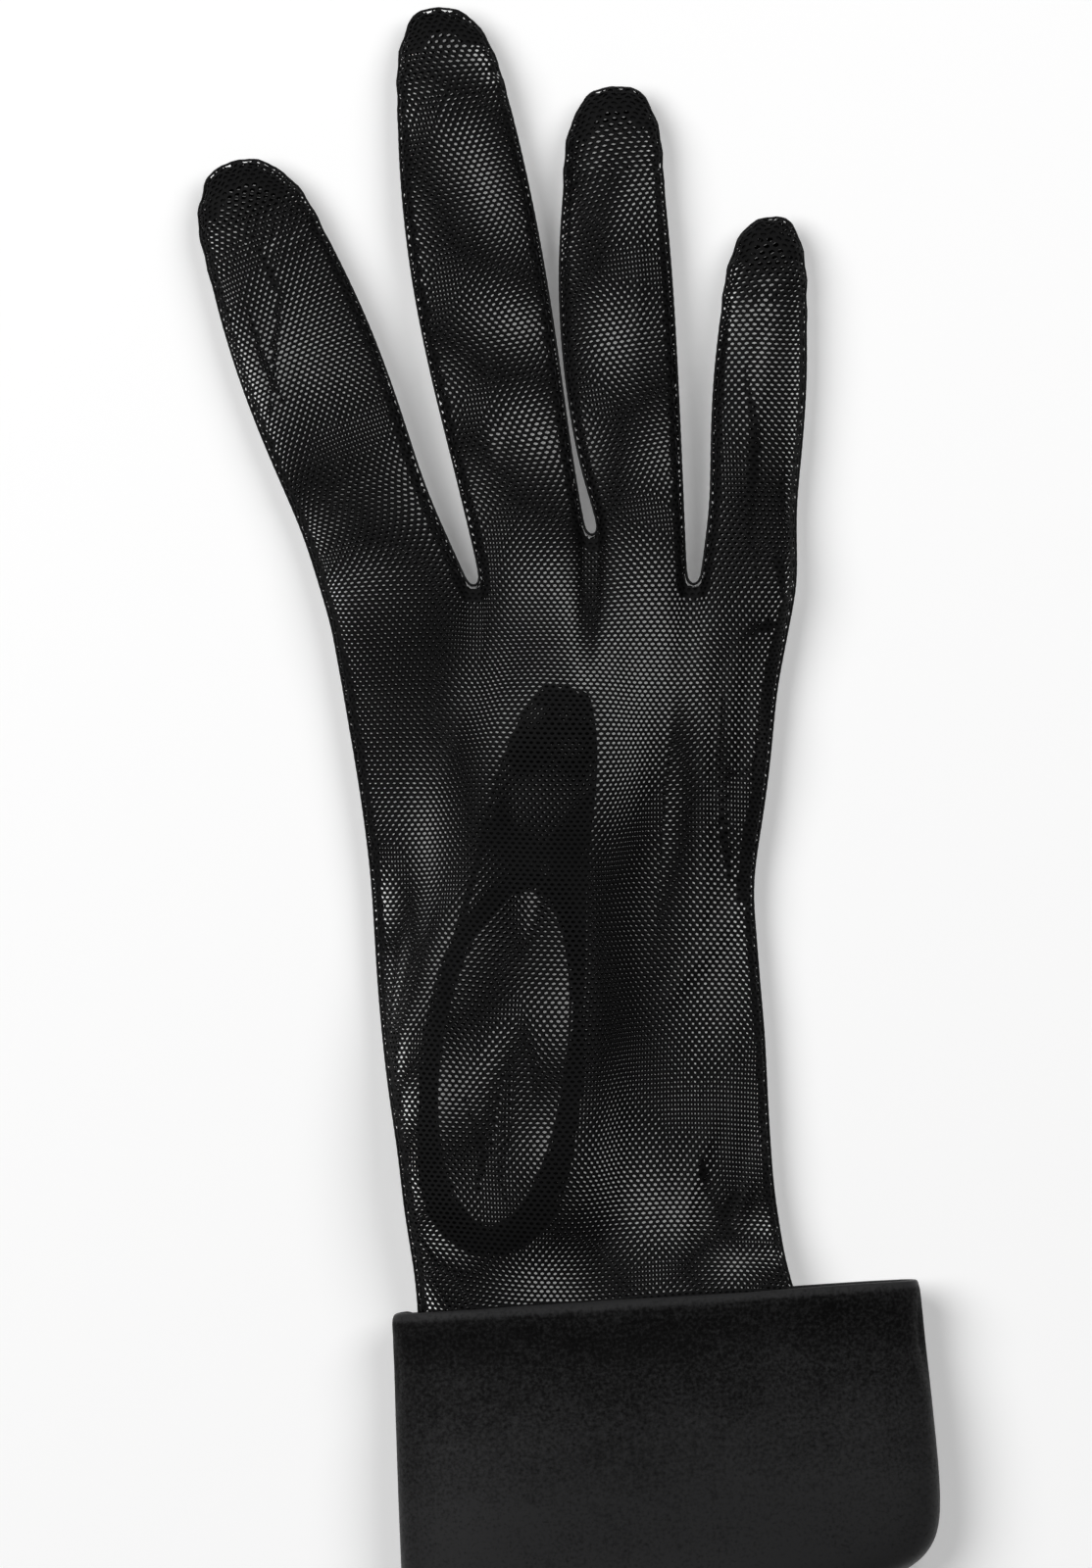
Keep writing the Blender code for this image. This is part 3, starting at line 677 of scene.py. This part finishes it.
def upright(arrays, number, labels):
    """The pattern with one finger turned upright about its base."""
    pattern = arrays["pattern"].copy()
    base, across, up = finger_frame(FINGERS[number])
    plan = arrays["points"][:, :2]
    centre = pattern[np.argmin(np.linalg.norm(plan - base, axis=1))]
    mine = labels == number
    reach = smooth_step(above_root(plan[mine], FINGERS[number]) / TURN_REACH)
    turn = -math.radians(FINGERS[number]["lean"]) * reach
    turned = ((pattern[mine] - centre) @ (1, 1j)) * np.exp(1j * turn)
    pattern[mine] = centre + np.column_stack((turned.real, turned.imag))
    return pattern


def drifted(pattern):
    """A pattern whose rows and columns wander a little, as knitted rows do, in waves of 40 to 110 mm."""
    u, v = pattern[:, 0] * 1000, pattern[:, 1] * 1000
    moves = np.column_stack((
        np.sin(v / 9.0 + 0.6) + 0.6 * np.sin(u / 6.5 + v / 17.0),
        np.sin(u / 8.0 + 2.0) + 0.6 * np.sin(v / 7.5 - u / 13.0),
    ))
    return pattern + DRIFT * moves


def look_up(places, pattern, triangles):
    """For each place, the triangle of the pattern under it, or -1, and its weights at the three corners."""
    tree = BVHTree.FromPolygons([Vector((u, v, 0.0)) for u, v in pattern], triangles.tolist())
    down = Vector((0.0, 0.0, -1.0))
    found = [tree.ray_cast(Vector((u, v, 1.0)), down)[2] for u, v in places]
    hits = np.array([-1 if hit is None else hit for hit in found])
    corners = triangles[hits]
    origin = pattern[corners[:, 0]]
    side_a, side_b = pattern[corners[:, 1]] - origin, pattern[corners[:, 2]] - origin
    away = places - origin
    area = side_a[:, 0] * side_b[:, 1] - side_a[:, 1] * side_b[:, 0]
    area[np.abs(area) < LEAST_AREA] = LEAST_AREA
    a = (away[:, 0] * side_b[:, 1] - away[:, 1] * side_b[:, 0]) / area
    b = (side_a[:, 0] * away[:, 1] - side_a[:, 1] * away[:, 0]) / area
    return hits, np.column_stack((1 - a - b, a, b))


def parts_of(arrays, has_fingers):
    """The pattern's parts, each with its own flat places, the triangles it may use and those it owns."""
    triangles = arrays["triangles"]
    if not has_fingers:
        return [(drifted(arrays["pattern"]), triangles, np.ones(len(triangles), bool))]
    labels = owners(arrays["points"], triangles)
    of_corners = np.full(len(arrays["points"]), HAND)
    for number in (*range(len(FINGERS)), HAND):
        of_corners[np.unique(triangles[labels == number])] = number
    parts = [(drifted(arrays["pattern"]), triangles[labels == HAND], np.ones((labels == HAND).sum(), bool))]
    for number in range(len(FINGERS)):
        mine = (labels == HAND) | (labels == number)
        pattern = drifted(upright(arrays, number, of_corners))
        parts.append((pattern, triangles[mine], labels[mine] == number))
    return parts


def lay_net(name, arrays, has_fingers=False, facing_down=False, keep=None, inset=0.0, shift=0.0):
    """A net over a form. keep(points) may choose where it lies. It ends with the last whole ribbons."""
    parts = parts_of(arrays, has_fingers)
    every = np.concatenate([pattern[np.unique(triangles)] for pattern, triangles, own in parts])
    low, high = every.min(axis=0), every.max(axis=0)
    columns = np.arange(int(low[0] / CELL_WIDTH) - 3, int(high[0] / CELL_WIDTH) + 4)
    rows = np.arange(int(low[1] / CELL_PITCH) - 3, int(high[1] / CELL_PITCH) + 4)
    places = corner_places(columns, rows, shift).reshape(-1, 2)
    faces = cell_faces(columns, rows)
    count = len(places)
    points, flat = np.zeros((len(parts) * count, 3)), np.zeros((len(parts) * count, 2))
    taken, in_hand = [[], []], np.zeros(count, bool)
    for number, (pattern, triangles, own) in enumerate(parts):
        reach = pattern[np.unique(triangles[own])]
        near = ((places > reach.min(axis=0) - 0.002) & (places < reach.max(axis=0) + 0.002)).all(axis=1)
        nearby = np.flatnonzero(near)
        hits, weights = look_up(places[nearby], pattern, triangles)
        on_it, owned = np.zeros(count, bool), np.zeros(count, bool)
        on_it[nearby], owned[nearby] = hits >= 0, own[hits] & (hits >= 0)
        corners = triangles[hits]
        spots = np.einsum("ij,ijk->ik", weights, arrays["points"][corners])
        outward = np.einsum("ij,ijk->ik", weights, arrays["normals"][corners])
        spots = spots - inset * outward
        if keep is not None:
            on_it[nearby] &= keep(spots)
        points[nearby + number * count] = spots
        flat[nearby + number * count] = np.einsum("ij,ijk->ik", weights, arrays["pattern"][corners])
        if number == 0:
            in_hand = on_it
        for kind, corner_numbers in enumerate(faces):
            good = on_it[corner_numbers].all(axis=1) & owned[corner_numbers].any(axis=1)
            chosen = corner_numbers[good]
            taken[kind].append(np.where(owned[chosen] | ~in_hand[chosen], chosen + number * count, chosen))
    triangles, quads = (np.concatenate(kind) for kind in taken)
    if facing_down:
        triangles, quads = triangles[:, ::-1], quads[:, ::-1]
    return mesh_from_arrays(name, points, triangles, quads, flat)


def mesh_from_arrays(name, points, triangles, quads, flat):
    """A piece from arrays, without the points that no face uses, and with its flat places as a UV map."""
    used = np.zeros(len(points), bool)
    used[triangles.ravel()] = True
    used[quads.ravel()] = True
    number = np.cumsum(used) - 1
    corners = np.concatenate((number[triangles].ravel(), number[quads].ravel()))
    starts = np.concatenate((np.arange(len(triangles)) * 3, len(triangles) * 3 + np.arange(len(quads)) * 4))
    mesh = bpy.data.meshes.new(name)
    mesh.vertices.add(int(used.sum()))
    mesh.vertices.foreach_set("co", points[used].ravel())
    mesh.loops.add(len(corners))
    mesh.loops.foreach_set("vertex_index", corners)
    mesh.polygons.add(len(starts))
    mesh.polygons.foreach_set("loop_start", starts)
    mesh.update(calc_edges=True)
    mesh.validate()
    mesh.uv_layers.new(name="OFBake").data.foreach_set("uv", (flat[used][corners] / UV_SIZE + 0.5).ravel())
    mesh.shade_smooth()
    return linked(name, mesh)


# %% [markdown]
# Now each form gets its net. The thumb's lower side is a shallow tray, which an unwrap would pull out of
# shape, so its pattern is its plan with the sides folded out.

# %% Net pieces
ARRAYS = {name: read_form(form, shallow=name == "thumb_lower") for name, form in FORMS.items()}
NETS = {
    "back": lay_net("back_net", ARRAYS["back"], has_fingers=True),
    "palm": lay_net("palm_net", ARRAYS["palm"], has_fingers=True, facing_down=True),
    "thumb_upper": lay_net("thumb_upper_net", ARRAYS["thumb_upper"]),
    "thumb_lower": lay_net("thumb_lower_net", ARRAYS["thumb_lower"], facing_down=True),
}
for name in FORK_NODES:
    NETS[name] = lay_net(name + "_net", ARRAYS[name])
for name, net in NETS.items():
    print(name, triangle_count(net), "triangles")

# %% [markdown]
# Seams. Each piece of net is cut larger than its outline, and the spare edge is turned in and caught by
# the stitches. It shows through the cloth as a darker band along every seam, widest round the thumb.
# Here it is a second strip of the same net, just inside the first and half a hole out of step with it.

# %% Seam allowances
ALLOWANCE = 0.0023
OVAL_ALLOWANCE = 0.0034
TURNED_EDGE = 0.0036  # the wider edge that has rolled in below the little finger
TIP_ALLOWANCE = 0.0046  # round a fingertip, where the turned edges lie over each other
ROLLED_LEFT = 0.02  # where that edge is, to the right of this
ROLLED_REACH = (-0.016, 0.035)  # and from here to there along the glove
TUCK = 0.00035
HEM_DEPTH = 0.0430  # below the cuff's upper edge, past which the net ends in its raw hem


def seam_keep(form, arrays, oval):
    """A test of which points lie within the seam allowance of a form, oval wide round its holes."""
    loops = sorted(boundary_loops(form), key=len, reverse=True)
    spots = arrays["points"][sum(loops, [])]
    widths = np.repeat([ALLOWANCE] + [oval] * (len(loops) - 1), [len(loop) for loop in loops])
    rolled = (spots[:, 0] > ROLLED_LEFT) & (spots[:, 1] > ROLLED_REACH[0]) & (spots[:, 1] < ROLLED_REACH[1])
    widths[rolled] = np.maximum(widths[rolled], TURNED_EDGE)
    for finger, mine, beside, along, across, up in by_finger(spots[:, :2]):
        widths[mine & (along > finger["length"] - TIP_REACH)] = TIP_ALLOWANCE
    hem = below_cuff_top(spots[:, :2]) > HEM_DEPTH
    spots, widths = spots[~hem], widths[~hem]
    tree = KDTree(len(spots))
    for number, spot in enumerate(spots):
        tree.insert(Vector(spot), number)
    tree.balance()

    def keep(points):
        nearest = [tree.find(Vector(point))[1:] for point in points]
        return np.array([away < widths[number] for number, away in nearest])

    return keep


EDGES = {}
for name, oval in (("back", ALLOWANCE), ("palm", OVAL_ALLOWANCE), ("thumb_upper", ALLOWANCE)):
    EDGES[name] = lay_net(
        name + "_seam_edge", ARRAYS[name], has_fingers=name in ("back", "palm"), facing_down=name == "palm",
        keep=seam_keep(FORMS[name], ARRAYS[name], oval), inset=TUCK, shift=0.5,
    )
    print(name, "allowance", triangle_count(EDGES[name]), "triangles")

# %% [markdown]
# Pleats. Where the glove was pushed together on the little finger's side, its cloth lies doubled in
# narrow flat pleats that run to the pinch below the knuckles. They read as dark streaks in the net. Each
# is one more strip of the same net just under the back, which is what a pressed pleat comes to.

# %% Pleats
PLEAT_INSET = 0.0007
PLEATED = lay_net("back_pleats", ARRAYS["back"], True, keep=in_pleat, inset=PLEAT_INSET, shift=0.25)
print("pleats", len(PLEATS), "with", triangle_count(PLEATED), "triangles")

# %% [markdown]
# Thread. A fine cord of overcast stitches closes each seam, and a row of running stitches holds the
# allowance down beside it. They could be painted on, but in the photo they stand clear of the cloth at
# the edge. So they are small tubes along the form's own edge, and bend round every crotch and tip.

# %% Stitches
SEAM_CORD = 0.00021
CORD_STEP = 0.0008
CORD_SIDES = 6
STITCH_LENGTH = 0.0016
STITCH_PITCH = 0.0024
STITCH_THICKNESS = 0.00026
STITCH_INSET = 0.0011
# Places along a stitch as shares of its length, each with the thread's thickness there as a share
STITCH_PROFILE = ((-0.5, 0.35), (-0.32, 0.9), (0.0, 1.0), (0.32, 0.9), (0.5, 0.35))
STITCH_RISE, STITCH_DIP = 0.35, 2.2  # how a stitch arches, in its thickness
SWELLS = (0.88, 1.18)  # of the cord's rings, by turns


def resample(points, step):
    """Points at even steps along a closed line."""
    closed = np.vstack((points, points[:1]))
    lengths = np.concatenate(((0.0,), np.cumsum(np.linalg.norm(np.diff(closed, axis=0), axis=1))))
    count = max(8, int(lengths[-1] / step))
    wanted = np.linspace(0.0, lengths[-1], count, endpoint=False)
    return np.column_stack([np.interp(wanted, lengths, closed[:, axis]) for axis in range(3)])


def tangents(points):
    along = np.roll(points, -1, axis=0) - np.roll(points, 1, axis=0)
    return along / np.linalg.norm(along, axis=1)[:, None]


def ring_of(builder, centre, side, upward, radius, twist=0.0):
    """A ring of new corners round a thread."""
    angles = [2 * math.pi * turn / CORD_SIDES + twist for turn in range(CORD_SIDES)]
    ring = [centre + radius * (math.cos(angle) * side + math.sin(angle) * upward) for angle in angles]
    return [builder.verts.new(Vector(corner)) for corner in ring]


def join_rings(builder, rings):
    """Faces from each ring to the next."""
    for low, high in zip(rings, rings[1:]):
        for turn in range(CORD_SIDES):
            onward = (turn + 1) % CORD_SIDES
            builder.faces.new((low[turn], low[onward], high[onward], high[turn]))


def cord_mesh(builder, points, radius):
    """A closed tube along the points, with the slight swell of one overcast stitch at every other ring."""
    along = tangents(points)
    side = np.cross(along, (0.0, 0.0, 1.0))
    side /= np.linalg.norm(side, axis=1)[:, None]
    upward = np.cross(side, along)
    rings = [
        ring_of(builder, point, side[number], upward[number], radius * SWELLS[number % 2], 0.5 * (number % 2))
        for number, point in enumerate(points)
    ]
    join_rings(builder, rings + rings[:1])


def stitch_mesh(builder, middle, along, side, upward):
    """One stitch: a short thread that dips into the cloth at both ends."""
    rings = []
    for place, size in STITCH_PROFILE:
        arch = (STITCH_RISE - STITCH_DIP * place * place) * STITCH_THICKNESS
        centre = middle + along * place * STITCH_LENGTH + upward * arch
        rings.append(ring_of(builder, centre, side, upward, size * STITCH_THICKNESS / 2))
    join_rings(builder, rings)
    builder.faces.new(rings[0][::-1])
    builder.faces.new(rings[-1])


def sew(name, form, arrays):
    """The seam cord and the running stitches of one form."""
    tree = BVHTree.FromPolygons([Vector(point) for point in arrays["points"]], arrays["triangles"].tolist())
    builder = bmesh.new()
    for loop in boundary_loops(form):
        cord_mesh(builder, evened(resample(arrays["points"][loop], CORD_STEP), 3), SEAM_CORD)
        row = evened(resample(arrays["points"][loop], STITCH_PITCH), 1)
        for point, along in zip(row, tangents(row)):
            if below_cuff_top(point[None, :2])[0] > HEM_DEPTH:
                continue
            outward = tree.find_nearest(Vector(point))[1]
            side = np.cross(outward, along)
            side /= np.linalg.norm(side)
            spots = [tree.find_nearest(Vector(point + turn * side * STITCH_INSET)) for turn in (1, -1)]
            spot, outward = min(spots, key=lambda found: found[3])[:2]
            outward = np.array(outward)
            stitch_mesh(builder, np.array(spot), along, np.cross(outward, along), outward)
    bmesh.ops.recalc_face_normals(builder, faces=builder.faces)
    mesh = bpy.data.meshes.new(name)
    builder.to_mesh(mesh)
    builder.free()
    mesh.shade_smooth()
    return linked(name, mesh)


STITCHES = {
    "back": sew("back_stitches", FORMS["back"], ARRAYS["back"]),
    "palm": sew("palm_stitches", FORMS["palm"], ARRAYS["palm"]),
    "thumb_upper": sew("thumb_stitches", FORMS["thumb_upper"], ARRAYS["thumb_upper"]),
}
for name, piece in STITCHES.items():
    print(name, "stitches", triangle_count(piece), "triangles")

# %% [markdown]
# The cuff is satin turned up over itself. Two strips could be draped over the wrist, but a pressed cuff
# keeps its shape. So it starts from the solid's own mesh, joined and made smooth. The fold along its
# upper edge is pressed, and the cloth stands up in a narrow roll and then lies in a shallow hollow before
# it rises again over the layers beneath.

# %% Satin cuff
ROLL_PLACE = 0.0012  # below the fold
ROLL_WIDTH = 0.0026
ROLL_HEIGHT = 0.0004
HOLLOW_PLACE = 0.0095
HOLLOW_WIDTH = 0.0055
HOLLOW_DEPTH = 0.0007
SWELL = 0.0005
BROAD_SCALE, FINE_SCALE = (28.0, 40.0, 60.0), (110.0, 60.0, 60.0)  # across, down and up
FINE_OFFSET = (0.0, 0.0, 7.0)  # keeps the fine unevenness apart from the broad one
FINE_SHARE = 0.2  # how strong it is beside the broad one
SIDE_BLEND = (0.1, 0.5)  # how far down the sides the relief reaches, by the normal's slope
OUTER_START = 0.004  # cloth lower than this lies on the table and stays as it is
CUFF_MIDDLE = 0.008  # height between the cuff's upper wall and its lower one


def cuff_relief(points, normals):
    """How far each point of the cuff moves out along its normal."""
    down = below_cuff_top(points[:, :2])
    lean = math.radians(CUFF_LEAN)
    across = (points[:, :2] - CUFF_TOP) @ (math.cos(lean), math.sin(lean))
    roll = ROLL_HEIGHT * np.exp(-((down - ROLL_PLACE) / ROLL_WIDTH) ** 2)
    hollow = HOLLOW_DEPTH * np.exp(-((down - HOLLOW_PLACE) / HOLLOW_WIDTH) ** 2)
    places = np.column_stack((across, down, points[:, 2]))
    broad = np.array([noise.noise(Vector(place)) for place in places * BROAD_SCALE])
    fine = np.array([noise.noise(Vector(place)) for place in places * FINE_SCALE + FINE_OFFSET])
    outward = normals[:, 2] * np.sign(points[:, 2] - CUFF_MIDDLE)
    outer = smooth_step((outward + SIDE_BLEND[0]) / SIDE_BLEND[1])
    uneven = SWELL * broad + FINE_SHARE * SWELL * fine
    return (roll - hollow + uneven) * outer * (points[:, 2] > OUTER_START)


cuff = merged_copy("cuff", "cuff_satin")
edit(cuff, pair_triangles)
subdivide(cuff, 3)
cuff_points, cuff_normals = read(cuff.data.vertices, "co"), read(cuff.data.vertices, "normal")
place_corners(cuff.data, cuff_points + cuff_relief(cuff_points, cuff_normals)[:, None] * cuff_normals)
cuff.data.shade_smooth()
print("cuff", triangle_count(cuff), "triangles")

# %% [markdown]
# Materials. Black cloth is never one black. Two shared node groups carry the looks, so that a change to
# a group reaches every piece. Fibre gives the net and its threads the uneven black of dyed nylon, with a
# nap of single filaments. Satin weave draws the long weft threads that float over the surface, and the
# faint cloudiness of cloth that was pressed while damp. It also paints light and shade by height on the
# cuff: a painted highlight along the fold, a painted shaded band below it, and lighter satin lower down.

# %% Node groups
COLOR_A, COLOR_B, COLOR_RESULT = 6, 7, 2  # the mix node's sockets for colours
OUTPUTS = {"Color": "NodeSocketColor", "Roughness": "NodeSocketFloat", "Normal": "NodeSocketVector"}
# Painted light and shade of the satin by height, from the cuff's lower edge at 0 to its upper one at 1:
# lighter low down, a painted shaded band under the fold, and a painted highlight on the fold itself
PAINTED_HEIGHT_SHADE = (
    (0.0, 1.0), (0.25, 0.82), (0.50, 0.48), (0.72, 0.20),
    (0.90, 0.04), (0.965, 0.10), (0.985, 0.85), (1.0, 1.0),
)
WEFT_SHARE, SLUB_SHARE, CLOUD_SHARE, SPECK_SHARE = 0.25, 0.3, 0.9, 2.2  # of the satin's light
DARKENED = 1.75  # taken from their sum, so that only the peaks are lit


def new_group(name, inputs):
    """An empty node group with the given inputs by name, colours or numbers, and the three outputs."""
    group = bpy.data.node_groups.new(name, "ShaderNodeTree")
    for label, value in inputs.items():
        kind = "NodeSocketFloat" if isinstance(value, float) else "NodeSocketColor"
        socket = group.interface.new_socket(name=label, in_out="INPUT", socket_type=kind)
        socket.default_value = value
    for label, kind in OUTPUTS.items():
        group.interface.new_socket(name=label, in_out="OUTPUT", socket_type=kind)
    return group, group.nodes.new("NodeGroupInput"), group.nodes.new("NodeGroupOutput")


def noise_of(tree, vector, scale, detail):
    values = {"Vector": vector, "Scale": scale, "Detail": detail, "Roughness": 0.6}
    return add(tree, "ShaderNodeTexNoise", values).outputs["Fac"]


def math_of(tree, operation, first, second):
    return add(tree, "ShaderNodeMath", {0: first, 1: second}, operation=operation).outputs["Value"]


def weighted(tree, *terms):
    """The sum of (socket, weight) terms."""
    total = None
    for socket, weight in terms:
        term = math_of(tree, "MULTIPLY", socket, weight)
        total = term if total is None else math_of(tree, "ADD", total, term)
    return total


def give_looks(tree, given, result, colors, shade, roughness, bumps, depth):
    """Blends two of a group's colours by the shade, and puts out colour, roughness and normal. roughness is
    the value at no shade and its change to full shade. bumps are the relief, which is depth metres high."""
    low, high = (given.outputs[label] for label in colors)
    blend = add(tree, "ShaderNodeMix", {"Factor": shade, COLOR_A: low, COLOR_B: high}, data_type="RGBA")
    relief = {"Distance": depth, "Strength": given.outputs["Relief"], "Height": bumps}
    bump = add(tree, "ShaderNodeBump", relief)
    rough = math_of(tree, "ADD", roughness[0], math_of(tree, "MULTIPLY", shade, roughness[1]))
    looks = (blend.outputs[COLOR_RESULT], rough, bump.outputs["Normal"])
    give(result, dict(zip(OUTPUTS, looks)))


def fibre_group():
    inputs = {
        "Deep": (0.003, 0.003, 0.003, 1), "Worn": (0.010, 0.010, 0.011, 1),
        "Patch Scale": 60.0, "Fibre Scale": 9000.0, "Relief": 0.5,
    }
    group, given, result = new_group("fibre", inputs)
    place = group.nodes.new("ShaderNodeTexCoord").outputs["Object"]
    patch = noise_of(group, place, given.outputs["Patch Scale"], 3.0)
    fibre = noise_of(group, place, given.outputs["Fibre Scale"], 2.0)
    shade = math_of(group, "MULTIPLY", patch, math_of(group, "ADD", fibre, 0.4))
    give_looks(group, given, result, ("Deep", "Worn"), shade, (0.52, 0.25), bumps=fibre, depth=0.00004)
    return group


def painted_height_shade(group, local):
    """Painted light and shade of the satin at each height of the cuff, from a colour ramp."""
    parts = add(group, "ShaderNodeSeparateXYZ", {"Vector": local})
    share = math_of(group, "ADD", math_of(group, "DIVIDE", parts.outputs["Y"], CUFF_HEIGHT), 1.0)
    height = add(group, "ShaderNodeValToRGB", {"Fac": share})
    ramp = height.color_ramp
    ramp.interpolation = "EASE"
    while len(ramp.elements) < len(PAINTED_HEIGHT_SHADE):
        ramp.elements.new(0.5)
    for element, (position, value) in zip(ramp.elements, PAINTED_HEIGHT_SHADE):
        element.position = position
        element.color = (value, value, value, 1.0)
    return height.outputs["Color"]


def satin_group():
    inputs = {
        "Deep": (0.004, 0.004, 0.004, 1), "Lit": (0.012, 0.012, 0.013, 1),
        "Threads": 6200.0, "Cloud Scale": 45.0, "Speck Scale": 1700.0, "Relief": 0.35,
    }
    group, given, result = new_group("satin_weave_and_painted_shade", inputs)
    place = group.nodes.new("ShaderNodeTexCoord").outputs["Object"]
    lay = {"Vector": place, "Location": (*CUFF_TOP, 0.0), "Rotation": (0.0, 0.0, math.radians(CUFF_LEAN))}
    local = add(group, "ShaderNodeMapping", lay, vector_type="TEXTURE").outputs["Vector"]
    cloud = noise_of(group, local, given.outputs["Cloud Scale"], 3.0)
    speck = noise_of(group, local, given.outputs["Speck Scale"], 4.0)
    stretched = add(group, "ShaderNodeMapping", {"Vector": local, "Scale": (0.12, 1.0, 1.0)})
    slub_scale = math_of(group, "MULTIPLY", given.outputs["Threads"], 0.35)
    slub = noise_of(group, stretched.outputs["Vector"], slub_scale, 2.0)
    bands = {"Vector": local, "Scale": given.outputs["Threads"], "Distortion": 1.2, "Detail": 1.0}
    weft = add(group, "ShaderNodeTexWave", bands, wave_type="BANDS", bands_direction="Y")
    thread = weighted(group, (weft.outputs["Fac"], WEFT_SHARE), (slub, SLUB_SHARE))
    mottle = weighted(group, (cloud, CLOUD_SHARE), (speck, SPECK_SHARE))
    # Painted light and shade by height join the threads and mottle here: a painted highlight on the fold, a
    # painted shaded band under it, lighter towards the lower edge.
    light = math_of(group, "ADD", math_of(group, "ADD", thread, mottle), painted_height_shade(group, local))
    shade = math_of(group, "SUBTRACT", light, DARKENED)
    bumps = math_of(group, "ADD", thread, math_of(group, "MULTIPLY", speck, 0.6))
    give_looks(group, given, result, ("Deep", "Lit"), shade, (0.62, -0.22), bumps=bumps, depth=0.00006)
    return group


def cloth_material(name, group, specular, values):
    """A cloth whose colour, roughness and normal come from a shared group."""
    plain = {"Roughness": 0.6, "Specular IOR Level": specular}
    made, shader = plain_material(name, (0.01, 0.01, 0.01), plain)
    look = add(made.node_tree, "ShaderNodeGroup", node_tree=group)
    give(look, values)
    color, roughness, normal = (look.outputs[label] for label in OUTPUTS)
    give(shader, {"Base Color": color, "Roughness": roughness, "Normal": normal})
    return made


FIBRE, SATIN = fibre_group(), satin_group()
NET_BLACK = cloth_material("net_black", FIBRE, 0.08, {
    "Fibre Scale": 7000.0, "Patch Scale": 70.0, "Worn": (0.007, 0.007, 0.0075, 1.0),
})
THREAD_BLACK = cloth_material("thread_black", FIBRE, 0.16, {
    "Fibre Scale": 5000.0, "Patch Scale": 400.0, "Relief": 0.7,
})
SATIN_BLACK = cloth_material("satin_black", SATIN, 0.08, {
    "Deep": (0.0008, 0.0008, 0.0008, 1.0), "Lit": (0.0235, 0.0235, 0.0242, 1.0),
})
print("materials", NET_BLACK.name, THREAD_BLACK.name, SATIN_BLACK.name)

# %% [markdown]
# The nets of the back, palm and thumb get the size of the piece each was cut from printed, and the cloth
# that it takes. An openwork net is mostly holes, so its area is that of the yarn alone: the pattern's
# flat area times the share that one cell's ribbons cover. The narrow strips, turned edges and threads are
# sewn to these sheets. The satin wall is one sheet of a doubled cloth.


# %% Cloth sizes
def polygon_area(corners):
    """Area of each polygon in an array of (polygons, corners, 2)."""
    onward = np.roll(corners, -1, axis=1)
    return np.abs((corners[..., 0] * onward[..., 1] - corners[..., 1] * onward[..., 0]).sum(axis=1)) / 2


def yarn_share():
    """The share of the cloth that the net's ribbons cover, from a small patch of cells."""
    side = np.arange(4)
    places = corner_places(side, side, 0.0).reshape(-1, 2)
    covered = sum(polygon_area(places[faces]).sum() for faces in cell_faces(side, side))
    return covered / ((len(side) - 2) * (len(side) - 1) * CELL_WIDTH * CELL_PITCH)


def cut_size(arrays):
    """The smallest rectangle round a pattern as (width, length), and the pattern's own area."""
    pattern, best = arrays["pattern"], None
    for angle in np.radians(np.arange(0.0, 90.0, 1.0)):
        turned = pattern @ np.array(((math.cos(angle), -math.sin(angle)), (math.sin(angle), math.cos(angle))))
        size = np.sort(np.ptp(turned, axis=0))
        if best is None or size.prod() < best.prod():
            best = size
    return tuple(best.tolist()), float(polygon_area(pattern[arrays["triangles"]]).sum())


def declare_net(name):
    size, area = cut_size(ARRAYS[name])
    yarn = area * yarn_share()
    print(name, "is cut from", [round(1000 * side, 1) for side in size], "mm, yarn", round(1e6 * yarn), "mm2")


# %% [markdown]
# Every piece gets its material and takes the place of the solid that it dresses. Nothing on a glove
# swings or slides by itself, so all of them ride on the root.

# %% Dress the pieces
GLOVE_NETS = [*NETS.values(), *EDGES.values(), PLEATED]
for piece in (*GLOVE_NETS, *STITCHES.values()):
    piece.data.materials.append(NET_BLACK if piece in GLOVE_NETS else THREAD_BLACK)
    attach(piece, "root")
cuff.data.materials.append(SATIN_BLACK)
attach(cuff, "root")
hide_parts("cuff")
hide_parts("back_panel")
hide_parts("palm_panel")
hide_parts("thumb")
for name in FORK_NODES:
    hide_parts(name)
declare_net("back")
declare_net("palm")
declare_net("thumb_upper")
declare_net("thumb_lower")

# %% [markdown]
# The forms were only patterns, so they go.

# %% Finish
for form in FORMS.values():
    bpy.data.objects.remove(form)
